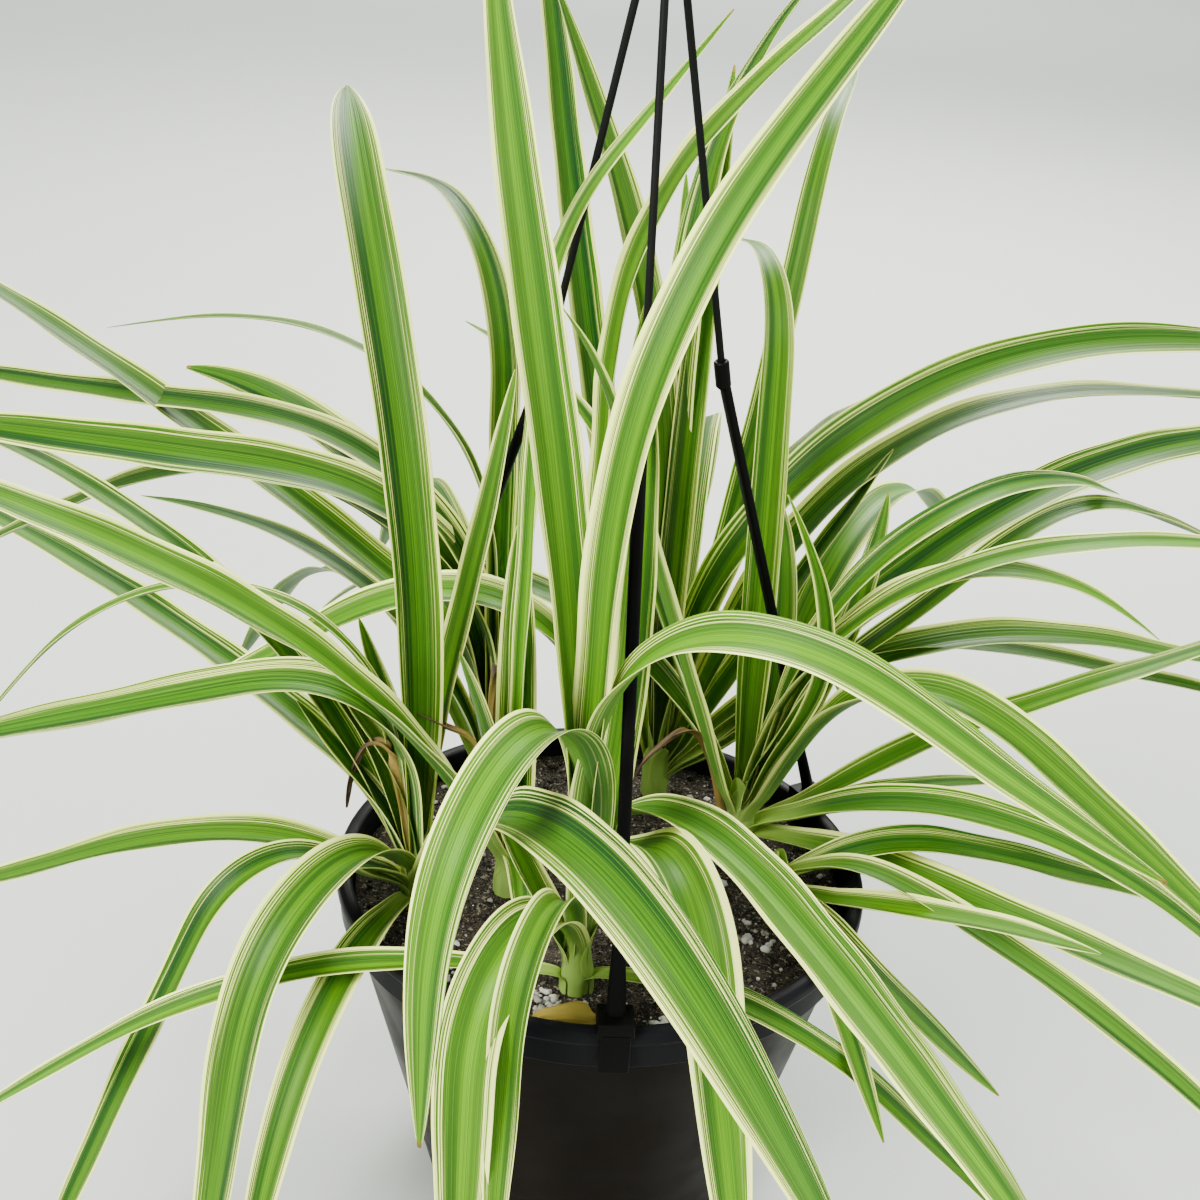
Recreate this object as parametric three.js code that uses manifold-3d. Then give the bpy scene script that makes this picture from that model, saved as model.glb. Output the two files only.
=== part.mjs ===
// Variegated spider plant in a round nursery pot with a clip-on hanger.
// Units are millimetres, +Z is up, and the origin is the centre of the pot's base.
// The plant is a clump of rosettes: each has a pale sheath in the soil and its own leaves.

import * as THREE from 'three';
import { mergeVertices } from 'three/addons/utils/BufferGeometryUtils.js';
import Module from 'manifold-3d';

const wasm = await Module();
wasm.setup();

// Driving dimensions of the pot
const POT_HEIGHT = 140;
const RIM_RADIUS = 100;
const BASE_RADIUS = 64;
const WALL_TOP_RADIUS = 95;
const WALL = 1.8;
const BAND_HEIGHT = 15.5;
const BAND_RADIUS = 98.5;
const BAND_FLARE = 0.3;
const BAND_FOOT = POT_HEIGHT - BAND_HEIGHT;
const LIP_WIDTH = 6;
const LIP_HEIGHT = 6;
const LIP_SLOPE = 1.5;
const LIP_ROUND = 2;
const LIP_BORE = RIM_RADIUS - LIP_WIDTH;
const BORE_DEPTH = 8;
const FOOT_ROUND = 2;
const FLOOR = 3;
const DRAIN_COUNT = 6;
const DRAIN_RADIUS = 4;
const DRAIN_CIRCLE = 42;
const DRAIN_SIDES = 12;
const POT_SIDES = 48;

// Driving dimensions of the soil, of the clearance between separate pieces, and of how far
// joined or cutting solids run past each other's faces
const GAP = 0.35;
const OVERRUN = 1;
const SOIL_DROP = 10;
const SOIL_TOP = POT_HEIGHT - SOIL_DROP;

// Driving dimensions of the hanger
const ARM_ANGLES = { front: -85, right: 32, left: 152 };
const STEM_WIDTH = 4.4;
const STEM_DEPTH = 3.4;
const FOOT_WIDTH = 6.6;
const FOOT_RADIUS = 97;
const FOOT_FLARE = 26;
const CLIP_WIDTH = 10.4;
const CLIP_TOP_WIDTH = 12.5;
const CLIP_RISE = 6;
const CLIP_THICK = 2.4;
const OUTER_TONGUE = 14;
const INNER_TONGUE = 8;
const KNUCKLE_RADIUS = 35;
const KNUCKLE_HEIGHT = 330;
const SOCKET_RADIUS = 2.7;
const SOCKET_HALF = 5;
const PIN_DEPTH = 3;
const LEG_RADIUS = 1.3;
const HUB_HEIGHT = 478;
const HUB_RADIUS = 7;
const HUB_HALF = 6;
const HUB_TAPER = 2;
const HUB_NECK = 3.2;
const HOOK_CENTRE = 512;
const HOOK_RADIUS = 15;
const HOOK_STEM = 6;
const HOOK_ARC = { from: 240, to: -30, by: 30 };
const HOOK_STEPS = 28;
const HOOK_ROD = 2.2;
const ROD_SIDES = 10;
const LEG_RUN = KNUCKLE_RADIUS - HUB_RADIUS / 2;
const LEG_RISE = HUB_HEIGHT - KNUCKLE_HEIGHT;
const LEG_LENGTH = Math.hypot(LEG_RUN, LEG_RISE);

// Driving dimensions of a leaf blade and of a rosette's sheath
const BLADE_THICK = 0.8;
const LEAST_HALF_WIDTH = 0.6;
const ROOT_SHARE = 0.5;
const FULL_WIDTH_AT = 0.3;
const TAPER_START = 4.2;
const TAPER_DEPTH = 0.97;
const TAPER_ROUND = 0.8;
const CURVE_STEPS = 48;
const LONG_LEAF = 250;
const SHORT_LEAF = 130;
const FOLD_AT_BASE = 34;
const FOLD_AT_TIP = 10;
const SHEATH_RADIUS = 7.5;
const SHEATH_NECK = 5.5;
const SHEATH_SHOULDER = 11;
const SHEATH_RISE = 16;
const SHEATH_DEPTH = 14;
const SHEATH_SIDES = 10;
const ROOT_START = 4;
const ROOT_SPREAD = 4.5;
const SLIVER = 0.1;

// A leaf is a row: azimuth, length, width, rise, fall, bend, span, sweep, turn.
// Rise and fall are the slopes in degrees at the root and the tip, bend is where along the leaf
// it turns from one to the other, span is the share of the length that the turn takes, sweep is
// how far the azimuth drifts and turn is how far the blade rolls by the tip.
const ROSETTES = [
  {
    name: 'rosette_front',
    at: [-6, -64],
    leaves: [
      [247, 286, 21, 90, -88, 0.50, 0.72, -2, 0],
      [234, 209, 24, 85, -88, 0.26, 0.61, 28, -15],
      [252, 215, 14, 80, -86, 0.30, 0.50, 0, 0],
      [196, 261, 14, 25, -38, 0.30, 0.94, -20, -2],
      [301, 322, 18, 88, -30, 0.48, 0.55, 61, 50],
      [339, 207, 14, 44, -39, 0.18, 0.97, 11, 1],
      [165, 75, 17, 66, 60, 0.60, 1.00, 0, 0],
      [27, 395, 20, 89, 41, 0.58, 0.52, 22, 24],
      [149, 358, 22, 87, 69, 0.41, 0.75, -37, 0],
      [72, 208, 17, 69, 90, 0.44, 0.47, -11, 0],
    ],
  },
  {
    name: 'rosette_mid',
    at: [-34, -10],
    leaves: [
      [221, 296, 22, 76, 33, 0.27, 1.45, -1, -46],
      [285, 48, 10, 85, -60, 0.40, 0.80, 0, 0],
      [100, 140, 17, 89, 74, 0.50, 1.00, 0, 0],
      [225, 110, 15, 82, 70, 0.50, 1.00, 0, 0],
      [31, 335, 12, 89, 48, 0.72, 0.25, -1, 11],
    ],
  },
  {
    name: 'rosette_centre',
    at: [-8, 16],
    leaves: [
      [309, 281, 24, 88, -11, 0.12, 0.80, -11, 4],
      [291, 255, 24, 35, -64, 0.42, 0.33, 3, 10],
      [185, 247, 24, 90, -31, 0.44, 0.64, -1, -9],
      [26, 420, 17, 90, 40, 0.58, 0.35, 0, 0],
      [51, 222, 21, 60, 92, 0.16, 0.25, 27, 0],
    ],
  },
  {
    name: 'rosette_left',
    at: [-68, -22],
    leaves: [
      [242, 235, 24, 90, -76, 0.23, 0.80, -7, -1],
      [225, 120, 14, 60, -70, 0.40, 0.90, 0, 0],
      [255, 172, 16, 32, -64, 0.33, 1.05, -7, 0],
      [210, 243, 17, 40, -60, 0.25, 0.31, 16, 0],
      [193, 204, 19, 69, -21, 0.16, 1.05, -17, -1],
      [192, 246, 24, 87, -10, 0.34, 0.43, 0, -11],
      [136, 307, 20, 77, 13, 0.08, 0.25, 25, 1],
      [168, 280, 16, 78, 10, 0.39, 1.21, -9, 0],
      [134, 328, 19, 90, 2, 0.71, 1.14, -32, 0],
      [47, 199, 12, 83, 70, 0.37, 0.43, 21, 0],
      [165, 235, 13, 78, 4, 0.45, 0.90, 0, 0],
      [190, 300, 7, 84, -52, 0.48, 0.70, 0, 0],
      [150, 110, 14, 84, 68, 0.50, 1.00, 0, 0],
      [298, 324, 24, 58, -17, 0.44, 1.00, 0, 50],
      [178, 90, 14, 90, 53, 0.17, 1.04, -2, 0],
      [166, 89, 15, 90, 51, 0.47, 0.82, 0, 0],
    ],
  },
  {
    name: 'rosette_rear_left',
    at: [-48, 50],
    leaves: [
      [173, 386, 17, 90, -3, 0.33, 0.54, -17, -27],
      [184, 318, 24, 90, 9, 0.35, 0.56, 10, -47],
      [171, 243, 20, 90, -26, 0.64, 1.44, -21, -50],
      [125, 320, 14, 90, -7, 0.70, 0.42, -2, 2],
      [186, 334, 20, 82, -28, 0.43, 0.71, -8, -1],
      [178, 302, 8, 90, -13, 0.60, 0.73, -2, 1],
      [110, 300, 18, 70, -45, 0.40, 0.90, 0, 0],
      [85, 330, 20, 80, -50, 0.45, 0.80, 0, 0],
      [130, 290, 17, 58, -50, 0.35, 0.90, 0, 0],
      [153, 329, 22, 90, 33, 0.15, 0.25, 33, -15],
      [170, 213, 13, 90, -6, 0.37, 1.29, -16, 0],
    ],
  },
  {
    name: 'rosette_right',
    at: [54, 34],
    leaves: [
      [330, 215, 24, 26, 0, 0.05, 0.58, -4, 3],
      [347, 234, 23, 49, -32, 0.28, 1.16, 1, 1],
      [13, 244, 17, 28, 17, 0.35, 0.25, 2, 0],
      [172, 252, 19, 82, -59, 0.51, 1.50, -26, 0],
      [-16, 303, 13, 80, -22, 0.49, 0.73, 83, 21],
      [-8, 230, 18, 75, -38, 0.62, 0.84, 10, 9],
      [96, 276, 15, 84, -9, 0.79, 0.28, 9, 0],
      [175, 239, 15, 68, 19, 0.77, 0.36, -20, -2],
      [213, 260, 10, 68, 39, 0.89, 0.43, 24, -2],
      [45, 144, 12, 72, 40, 0.90, 0.50, 80, 0],
      [-8, 150, 14, 68, 60, 0.80, 0.60, 86, 0],
      [6, 106, 13, 25, -2, 0.59, 1.19, 1, 0],
      [60, 320, 20, 68, -45, 0.45, 0.80, 0, 0],
      [335, 266, 24, 66, -25, 0.38, 0.45, -16, 8],
      [-22, 289, 15, 90, -6, 0.40, 1.02, 43, 15],
      [122, 256, 7, 87, 130, 0.05, 0.57, -68, 0],
      [131, 96, 14, 90, 117, 0.23, 0.66, 1, 0],
    ],
  },
  {
    name: 'rosette_right_front',
    at: [66, -4],
    leaves: [
      [323, 127, 16, 20, 6, 0.78, 0.97, 2, 0],
      [338, 212, 17, 68, -9, 0.10, 0.34, -36, 0],
      [298, 127, 13, 40, -2, 0.09, 0.25, 7, 0],
      [286, 125, 10, 50, -15, 0.14, 0.64, -3, 0],
      [11, 167, 22, 75, -13, 0.06, 1.03, -10, 0],
    ],
  },
  {
    name: 'rosette_rear_right',
    at: [20, 66],
    leaves: [
      [13, 393, 24, 43, -6, 0.49, 0.70, 33, 35],
      [130, 380, 18, 70, 76, 0.50, 0.70, 0, 0],
      [10, 361, 24, 90, -8, 0.46, 1.17, 0, 40],
      [5, 307, 24, 46, -13, 0.36, 0.82, 12, 1],
      [56, 297, 14, 76, -5, 0.40, 0.89, 0, -1],
      [59, 359, 13, 63, 9, 0.77, 0.25, 20, 0],
      [130, 345, 18, 84, 45, 0.80, 0.50, -120, 0],
      [140, 325, 20, 86, 60, 0.60, 0.60, 0, 0],
      [80, 290, 14, 88, 68, 0.60, 1.00, 0, 0],
      [95, 250, 14, 84, 60, 0.60, 1.00, 0, 0],
      [85, 340, 20, 72, -50, 0.45, 0.80, 0, 0],
      [115, 320, 18, 60, -50, 0.40, 0.80, 0, 0],
      [65, 300, 17, 45, -50, 0.35, 0.90, 0, 0],
      [21, 345, 24, 68, -4, 0.50, 0.76, -15, 0],
      [0, 365, 15, 40, -23, 0.55, 0.25, 40, 0],
      [13, 170, 18, 61, 62, 0.46, 0.29, -4, 2],
      [13, 298, 18, 58, -10, 0.26, 0.72, -12, 1],
    ],
  },
];

const radians = THREE.MathUtils.degToRad;
const smooth = (x) => THREE.MathUtils.smoothstep(x, 0, 1);

// Closed solid through rings of points, each ring counter-clockwise seen against the path
function loft(rings) {
  const count = rings[0].length;
  const positions = rings.flat().flatMap((p) => [p.x, p.y, p.z]);
  const index = [];
  for (let i = 0; i + 1 < rings.length; i++) {
    for (let j = 0; j < count; j++) {
      const a = i * count + j;
      const b = i * count + ((j + 1) % count);
      index.push(a, b, a + count, b, b + count, a + count);
    }
  }
  const last = (rings.length - 1) * count;
  for (let j = 1; j + 1 < count; j++) {
    index.push(0, j + 1, j);
    index.push(last, last + j, last + j + 1);
  }
  const geometry = new THREE.BufferGeometry();
  geometry.setAttribute('position', new THREE.Float32BufferAttribute(positions, 3));
  geometry.setIndex(index);
  return geometry;
}

function toSolid(geometry) {
  const bare = geometry.clone();
  bare.deleteAttribute('normal');
  bare.deleteAttribute('uv');
  const merged = mergeVertices(bare, 1e-4);
  return new wasm.Manifold(new wasm.Mesh({
    numProp: 3,
    vertProperties: new Float32Array(merged.attributes.position.array),
    triVerts: new Uint32Array(merged.index.array),
  }));
}

function toGeometry(solid) {
  const mesh = solid.getMesh();
  const positions = new Float32Array(mesh.vertProperties);
  const geometry = new THREE.BufferGeometry();
  geometry.setAttribute('position', new THREE.BufferAttribute(positions, 3));
  geometry.setIndex(new THREE.BufferAttribute(new Uint32Array(mesh.triVerts), 1));
  return geometry;
}

// Midrib of a leaf as a list of points with their directions, from its root to its tip
function midrib(at, leaf) {
  const [azimuth, length, , rise, fall, bend, span, sweep] = leaf;
  const point = new THREE.Vector3(at[0], at[1], SOIL_TOP + ROOT_START);
  const spread = ROOT_SPREAD * Math.cos(radians(rise));
  point.x += spread * Math.cos(radians(azimuth));
  point.y += spread * Math.sin(radians(azimuth));
  const step = length / CURVE_STEPS;
  const stations = [];
  for (let i = 0; i <= CURVE_STEPS; i++) {
    const s = i / CURVE_STEPS;
    const slope = radians(rise + (fall - rise) * smooth((s - bend) / span + 0.5));
    const heading = radians(azimuth + sweep * s);
    stations.push({ s, slope, heading, point: point.clone() });
    point.x += step * Math.cos(slope) * Math.cos(heading);
    point.y += step * Math.cos(slope) * Math.sin(heading);
    point.z += step * Math.sin(slope);
  }
  return stations;
}

// Share of the full width along the blade: clasping at the root, late taper to the tip
function widthShare(s) {
  const root = ROOT_SHARE + (1 - ROOT_SHARE) * smooth(s / FULL_WIDTH_AT);
  return root * Math.pow(1 - TAPER_DEPTH * Math.pow(s, TAPER_START), TAPER_ROUND);
}

// Curve steps in one flat-sided stretch of a blade, so long leaves have more stretches
function stepsPerSegment(length) {
  if (length > LONG_LEAF) return CURVE_STEPS / 8;
  return length > SHORT_LEAF ? CURVE_STEPS / 6 : CURVE_STEPS / 4;
}

// A blade is a shallow channel: its two halves rise from the midrib towards the upper side
function leafSolid(at, leaf) {
  const [, length, width, , , , , , turn] = leaf;
  const stations = midrib(at, leaf);
  const every = stepsPerSegment(length);
  const rings = [];
  for (let i = 0; i <= CURVE_STEPS; i += every) {
    const { s, slope, heading, point } = stations[i];
    const roll = radians(turn * s);
    const side = new THREE.Vector3(-Math.sin(heading), Math.cos(heading), 0);
    const up = new THREE.Vector3(
      -Math.sin(slope) * Math.cos(heading),
      -Math.sin(slope) * Math.sin(heading),
      Math.cos(slope),
    );
    const across = side.clone().multiplyScalar(Math.cos(roll)).addScaledVector(up, Math.sin(roll));
    const normal = up.clone().multiplyScalar(Math.cos(roll)).addScaledVector(side, -Math.sin(roll));
    const half = Math.max((width * widthShare(s)) / 2, LEAST_HALF_WIDTH);
    const fold = radians(FOLD_AT_BASE + (FOLD_AT_TIP - FOLD_AT_BASE) * s);
    const out = half * Math.cos(fold);
    const lift = half * Math.sin(fold);
    const place = (u, v) => point.clone().addScaledVector(across, u).addScaledVector(normal, v);
    rings.push([
      place(out, lift),
      place(0, 0),
      place(-out, lift),
      place(-out, lift - BLADE_THICK),
      place(0, -BLADE_THICK),
      place(out, lift - BLADE_THICK),
    ]);
  }
  return toSolid(loft(rings));
}

function ring(radius, height, at, sides) {
  const points = [];
  for (let i = 0; i < sides; i++) {
    const angle = (2 * Math.PI * i) / sides;
    points.push(new THREE.Vector3(
      at[0] + radius * Math.cos(angle),
      at[1] + radius * Math.sin(angle),
      height,
    ));
  }
  return points;
}

function column(at, sides, steps) {
  return toSolid(loft(steps.map(([radius, height]) => ring(radius, height, at, sides))));
}

function sheathSolid(at) {
  return column(at, SHEATH_SIDES, [
    [SHEATH_RADIUS, SOIL_TOP - SHEATH_DEPTH],
    [SHEATH_RADIUS, SOIL_TOP],
    [SHEATH_NECK, SOIL_TOP + SHEATH_SHOULDER],
    [SHEATH_NECK / 2, SOIL_TOP + SHEATH_RISE],
  ]);
}

// The outer shell alone, without the slivers that the joins leave and without the pockets that
// get closed off between blades at their roots
function outerShell(solid) {
  const shells = solid.asOriginal().simplify(SLIVER).decompose();
  return shells.reduce((a, b) => (a.volume() > b.volume() ? a : b));
}

function rosetteSolid(rosette) {
  let solid = sheathSolid(rosette.at);
  for (const leaf of rosette.leaves) solid = solid.add(leafSolid(rosette.at, leaf));
  // The second pass parts the few points where the first one leaves the surface pinched
  return outerShell(outerShell(solid));
}

function finish(color, roughness, metalness = 0) {
  return new THREE.MeshStandardMaterial({ color, roughness, metalness });
}

const BLACK_PLASTIC = finish(0x1a1817, 0.42);
const SOIL = finish(0x2c221b, 1);
const LEAF = finish(0x5f9a3c, 0.45);

const plant = new THREE.Group();

function addPiece(name, solid, material) {
  const mesh = new THREE.Mesh(toGeometry(solid), material);
  mesh.name = name;
  plant.add(mesh);
}

function lathe(profile) {
  const geometry = new THREE.LatheGeometry(profile.map(([r, z]) => new THREE.Vector2(r, z)), POT_SIDES);
  geometry.rotateX(Math.PI / 2);
  return toSolid(geometry);
}

function wallRadius(z) {
  return BASE_RADIUS + (WALL_TOP_RADIUS - BASE_RADIUS) * (z / BAND_FOOT);
}

function potSolid() {
  let solid = lathe([
    [0, 0],
    [BASE_RADIUS - FOOT_ROUND, 0],
    [BASE_RADIUS, FOOT_ROUND],
    [wallRadius(BAND_FOOT), BAND_FOOT],
    [BAND_RADIUS, BAND_FOOT],
    [BAND_RADIUS + BAND_FLARE, POT_HEIGHT - LIP_HEIGHT],
    [RIM_RADIUS, POT_HEIGHT - LIP_HEIGHT + LIP_SLOPE],
    [RIM_RADIUS, POT_HEIGHT - LIP_ROUND],
    [RIM_RADIUS - LIP_ROUND, POT_HEIGHT],
    [LIP_BORE + LIP_ROUND, POT_HEIGHT],
    [LIP_BORE, POT_HEIGHT - LIP_ROUND],
    [LIP_BORE, POT_HEIGHT - BORE_DEPTH],
    [wallRadius(BAND_FOOT) - WALL, BAND_FOOT],
    [wallRadius(FLOOR) - WALL, FLOOR],
    [0, FLOOR],
  ]);
  const drain = [[DRAIN_RADIUS, -OVERRUN], [DRAIN_RADIUS, FLOOR + OVERRUN]];
  for (let i = 0; i < DRAIN_COUNT; i++) {
    const angle = (2 * Math.PI * (i + 0.5)) / DRAIN_COUNT;
    const at = [DRAIN_CIRCLE * Math.cos(angle), DRAIN_CIRCLE * Math.sin(angle)];
    solid = solid.subtract(column(at, DRAIN_SIDES, drain));
  }
  return solid;
}

function soilSolid() {
  const inset = WALL + GAP;
  let solid = lathe([
    [0, FLOOR + GAP],
    [wallRadius(FLOOR) - inset, FLOOR + GAP],
    [wallRadius(BAND_FOOT) - inset, BAND_FOOT],
    [wallRadius(BAND_FOOT) - inset, SOIL_TOP],
    [0, SOIL_TOP],
  ]);
  const radius = SHEATH_RADIUS + GAP;
  const hole = [[radius, SOIL_TOP - SHEATH_DEPTH - GAP], [radius, SOIL_TOP + OVERRUN]];
  for (const { at } of ROSETTES) solid = solid.subtract(column(at, SHEATH_SIDES, hole));
  return solid;
}

// Upright block about the XZ plane, given by its ends in x and z and its width in y
function block([x0, x1], width, [z0, z1]) {
  return wasm.Manifold.cube([x1 - x0, width, z1 - z0]).translate([x0, -width / 2, z0]);
}

function barRing(x, z, width, depth) {
  const corners = [[1, 1], [-1, 1], [-1, -1], [1, -1]];
  return corners.map(([i, j]) => new THREE.Vector3(x + (i * depth) / 2, (j * width) / 2, z));
}

// Upper legs lean in from the knuckle to the hub; a piece made along +Z takes that lean here
function alongLeg(solid) {
  const lean = THREE.MathUtils.radToDeg(Math.atan2(LEG_RUN, LEG_RISE));
  return solid.rotate([0, -lean, 0]).translate([KNUCKLE_RADIUS, 0, KNUCKLE_HEIGHT]);
}

// One arm in the XZ plane: a clip over the rim, a stem leaning in and a socket on its end
function armSolid() {
  const outer = RIM_RADIUS + GAP;
  const inner = LIP_BORE - GAP;
  const seat = POT_HEIGHT + GAP;
  const top = POT_HEIGHT + CLIP_RISE;
  const flare = FOOT_FLARE / (KNUCKLE_HEIGHT - top);
  const flareRadius = THREE.MathUtils.lerp(FOOT_RADIUS, KNUCKLE_RADIUS, flare);
  const stem = toSolid(loft([
    barRing(FOOT_RADIUS, top - OVERRUN, FOOT_WIDTH, STEM_DEPTH),
    barRing(flareRadius, top + FOOT_FLARE, STEM_WIDTH, STEM_DEPTH),
    barRing(KNUCKLE_RADIUS, KNUCKLE_HEIGHT, STEM_WIDTH, STEM_DEPTH),
  ]));
  const socket = column([0, 0], ROD_SIDES, [
    [SOCKET_RADIUS, -SOCKET_HALF],
    [SOCKET_RADIUS, SOCKET_HALF],
  ]);
  const bore = column([0, 0], ROD_SIDES, [
    [LEG_RADIUS + GAP, -PIN_DEPTH - GAP],
    [LEG_RADIUS + GAP, SOCKET_HALF + OVERRUN],
  ]);
  return block([inner - CLIP_THICK, outer + CLIP_THICK], CLIP_TOP_WIDTH, [seat, top])
    .add(block([outer, outer + CLIP_THICK], CLIP_WIDTH, [POT_HEIGHT - OUTER_TONGUE, top]))
    .add(block([inner - CLIP_THICK, inner], CLIP_WIDTH, [POT_HEIGHT - INNER_TONGUE, top]))
    .add(stem)
    .add(alongLeg(socket))
    .subtract(alongLeg(bore));
}

function hookSolid() {
  const shape = new THREE.Shape();
  shape.absarc(0, 0, HOOK_ROD, 0, 2 * Math.PI);
  const points = [
    new THREE.Vector3(0, 0, HUB_HEIGHT),
    new THREE.Vector3(0, 0, HOOK_CENTRE - HOOK_RADIUS - HOOK_STEM),
  ];
  for (let angle = HOOK_ARC.from; angle >= HOOK_ARC.to; angle -= HOOK_ARC.by) {
    const x = HOOK_RADIUS * Math.cos(radians(angle));
    points.push(new THREE.Vector3(x, 0, HOOK_CENTRE + HOOK_RADIUS * Math.sin(radians(angle))));
  }
  return toSolid(new THREE.ExtrudeGeometry(shape, {
    steps: HOOK_STEPS,
    curveSegments: ROD_SIDES / 2,
    bevelEnabled: false,
    extrudePath: new THREE.CatmullRomCurve3(points),
  }));
}

function yokeSolid() {
  let solid = column([0, 0], 2 * ROD_SIDES, [
    [HUB_RADIUS - HUB_TAPER, HUB_HEIGHT - HUB_HALF],
    [HUB_RADIUS, HUB_HEIGHT],
    [HUB_NECK, HUB_HEIGHT + HUB_HALF],
  ]);
  const leg = alongLeg(column([0, 0], ROD_SIDES, [
    [LEG_RADIUS, -PIN_DEPTH],
    [LEG_RADIUS, LEG_LENGTH],
  ]));
  for (const angle of Object.values(ARM_ANGLES)) solid = solid.add(leg.rotate([0, 0, angle]));
  return solid.add(hookSolid());
}

addPiece('pot', potSolid(), BLACK_PLASTIC);
addPiece('soil', soilSolid(), SOIL);
for (const [side, angle] of Object.entries(ARM_ANGLES)) {
  addPiece(`hanger_arm_${side}`, armSolid().rotate([0, 0, angle]), BLACK_PLASTIC);
}
addPiece('hanger_yoke', yokeSolid(), BLACK_PLASTIC);
for (const rosette of ROSETTES) addPiece(rosette.name, rosetteSolid(rosette), LEAF);

export default plant;
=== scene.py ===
"""Looks of the potted spider plant: blades, sheaths, soil, pot, hanger and stage.

Lengths in the tables are millimetres, as in the part's source, and meshes are made in metres.
"""

import math
import random

import bmesh
import bpy
import numpy as np
from bpy.props import FloatProperty, FloatVectorProperty, IntProperty, PointerProperty
from mathutils import Matrix, Vector, noise


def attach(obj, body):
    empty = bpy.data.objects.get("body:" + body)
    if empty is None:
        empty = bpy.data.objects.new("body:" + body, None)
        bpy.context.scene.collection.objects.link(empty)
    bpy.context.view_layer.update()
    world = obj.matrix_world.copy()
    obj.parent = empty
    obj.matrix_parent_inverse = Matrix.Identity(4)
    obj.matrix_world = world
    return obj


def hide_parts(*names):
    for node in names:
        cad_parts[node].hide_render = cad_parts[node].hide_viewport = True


bl_info = {
    "name": "Potted spider plant",
    "version": (1, 0, 0),
    "blender": (4, 5, 0),
    "location": "3D View > Sidebar > Plant",
    "description": "Builds the striped blades, sheaths, soil, pot, hanger and stage",
    "category": "Object",
}

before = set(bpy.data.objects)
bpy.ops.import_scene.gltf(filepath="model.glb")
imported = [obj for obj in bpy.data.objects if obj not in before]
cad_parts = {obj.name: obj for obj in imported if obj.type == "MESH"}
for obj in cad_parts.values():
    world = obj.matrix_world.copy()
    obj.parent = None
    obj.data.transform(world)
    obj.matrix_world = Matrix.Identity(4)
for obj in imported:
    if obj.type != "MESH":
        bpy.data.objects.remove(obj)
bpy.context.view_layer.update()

MM = 0.001
BODY = "root"

# Seeds of the random draws
LEAF_SEED = 40
DRY_SEED = 77
CRUMB_SEED = 7
PERLITE_SEED = 9

# Sizes of the pot, soil and hanger, the same as the solids
POT_HEIGHT = 140
RIM_RADIUS = 100
BASE_RADIUS = 64
WALL_TOP_RADIUS = 95
WALL = 1.8
BAND_HEIGHT = 15.5
BAND_FOOT = POT_HEIGHT - BAND_HEIGHT
BAND_RADIUS = 98.5
BAND_FLARE = 0.3
LIP_WIDTH = 6
LIP_HEIGHT = 6
LIP_SLOPE = 1.5
LIP_ROUND = 2
LIP_BORE = RIM_RADIUS - LIP_WIDTH
BORE_DEPTH = 8
FOOT_ROUND = 2
FLOOR = 3
DRAIN_COUNT = 6
DRAIN_RADIUS = 4
DRAIN_CIRCLE = 42
GAP = 0.35
SOIL_TOP = 130
ARM_ANGLES = {"front": -85, "right": 32, "left": 152}
STEM_WIDTH = 4.4
STEM_DEPTH = 3.4
FOOT_WIDTH = 6.6
FOOT_RADIUS = 97
FOOT_FLARE = 26
CLIP_WIDTH = 10.4
CLIP_TOP_WIDTH = 12.5
CLIP_RISE = 6
CLIP_THICK = 2.4
OUTER_TONGUE = 14
INNER_TONGUE = 8
KNUCKLE_RADIUS = 35
KNUCKLE_HEIGHT = 330
SOCKET_RADIUS = 2.7
SOCKET_HALF = 5
PIN_DEPTH = 3
LEG_RADIUS = 1.3
HUB_HEIGHT = 478
HUB_RADIUS = 7
HUB_HALF = 6
HOOK_CENTRE = 512
HOOK_RADIUS = 15
HOOK_ROD = 2.2

# Profiles of the hanger's turned pieces, as radius and height
LEG_LENGTH = math.hypot(KNUCKLE_RADIUS - HUB_RADIUS / 2, HUB_HEIGHT - KNUCKLE_HEIGHT)
LEG_PROFILE = (
    (LEG_RADIUS - 0.4, -PIN_DEPTH), (LEG_RADIUS, -PIN_DEPTH + 0.5),
    (LEG_RADIUS, LEG_LENGTH / 2), (LEG_RADIUS, LEG_LENGTH),
)
SOCKET_PROFILE = (
    (SOCKET_RADIUS - 0.6, -SOCKET_HALF), (SOCKET_RADIUS, -SOCKET_HALF + 0.8),
    (SOCKET_RADIUS, SOCKET_HALF - 0.5), (SOCKET_RADIUS - 0.4, SOCKET_HALF),
    (LEG_RADIUS + GAP, SOCKET_HALF), (LEG_RADIUS + GAP, -PIN_DEPTH - GAP),
)
HUB_PROFILE = (
    (HUB_RADIUS - 2.6, HUB_HEIGHT - HUB_HALF), (HUB_RADIUS - 2, HUB_HEIGHT - HUB_HALF + 0.6),
    (HUB_RADIUS - 0.2, HUB_HEIGHT - 0.8), (HUB_RADIUS, HUB_HEIGHT),
    (HUB_RADIUS - 0.4, HUB_HEIGHT + 0.8), (HOOK_ROD + 1.2, HUB_HEIGHT + HUB_HALF - 0.6),
    (HOOK_ROD + 0.6, HUB_HEIGHT + HUB_HALF),
)

# The hook: its neck below the round part, angles round it, and how its rod thins at the ends
HOOK_NECK = 6
HOOK_TURN = range(240, -31, -30)
HOOK_END = 0.8

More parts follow.
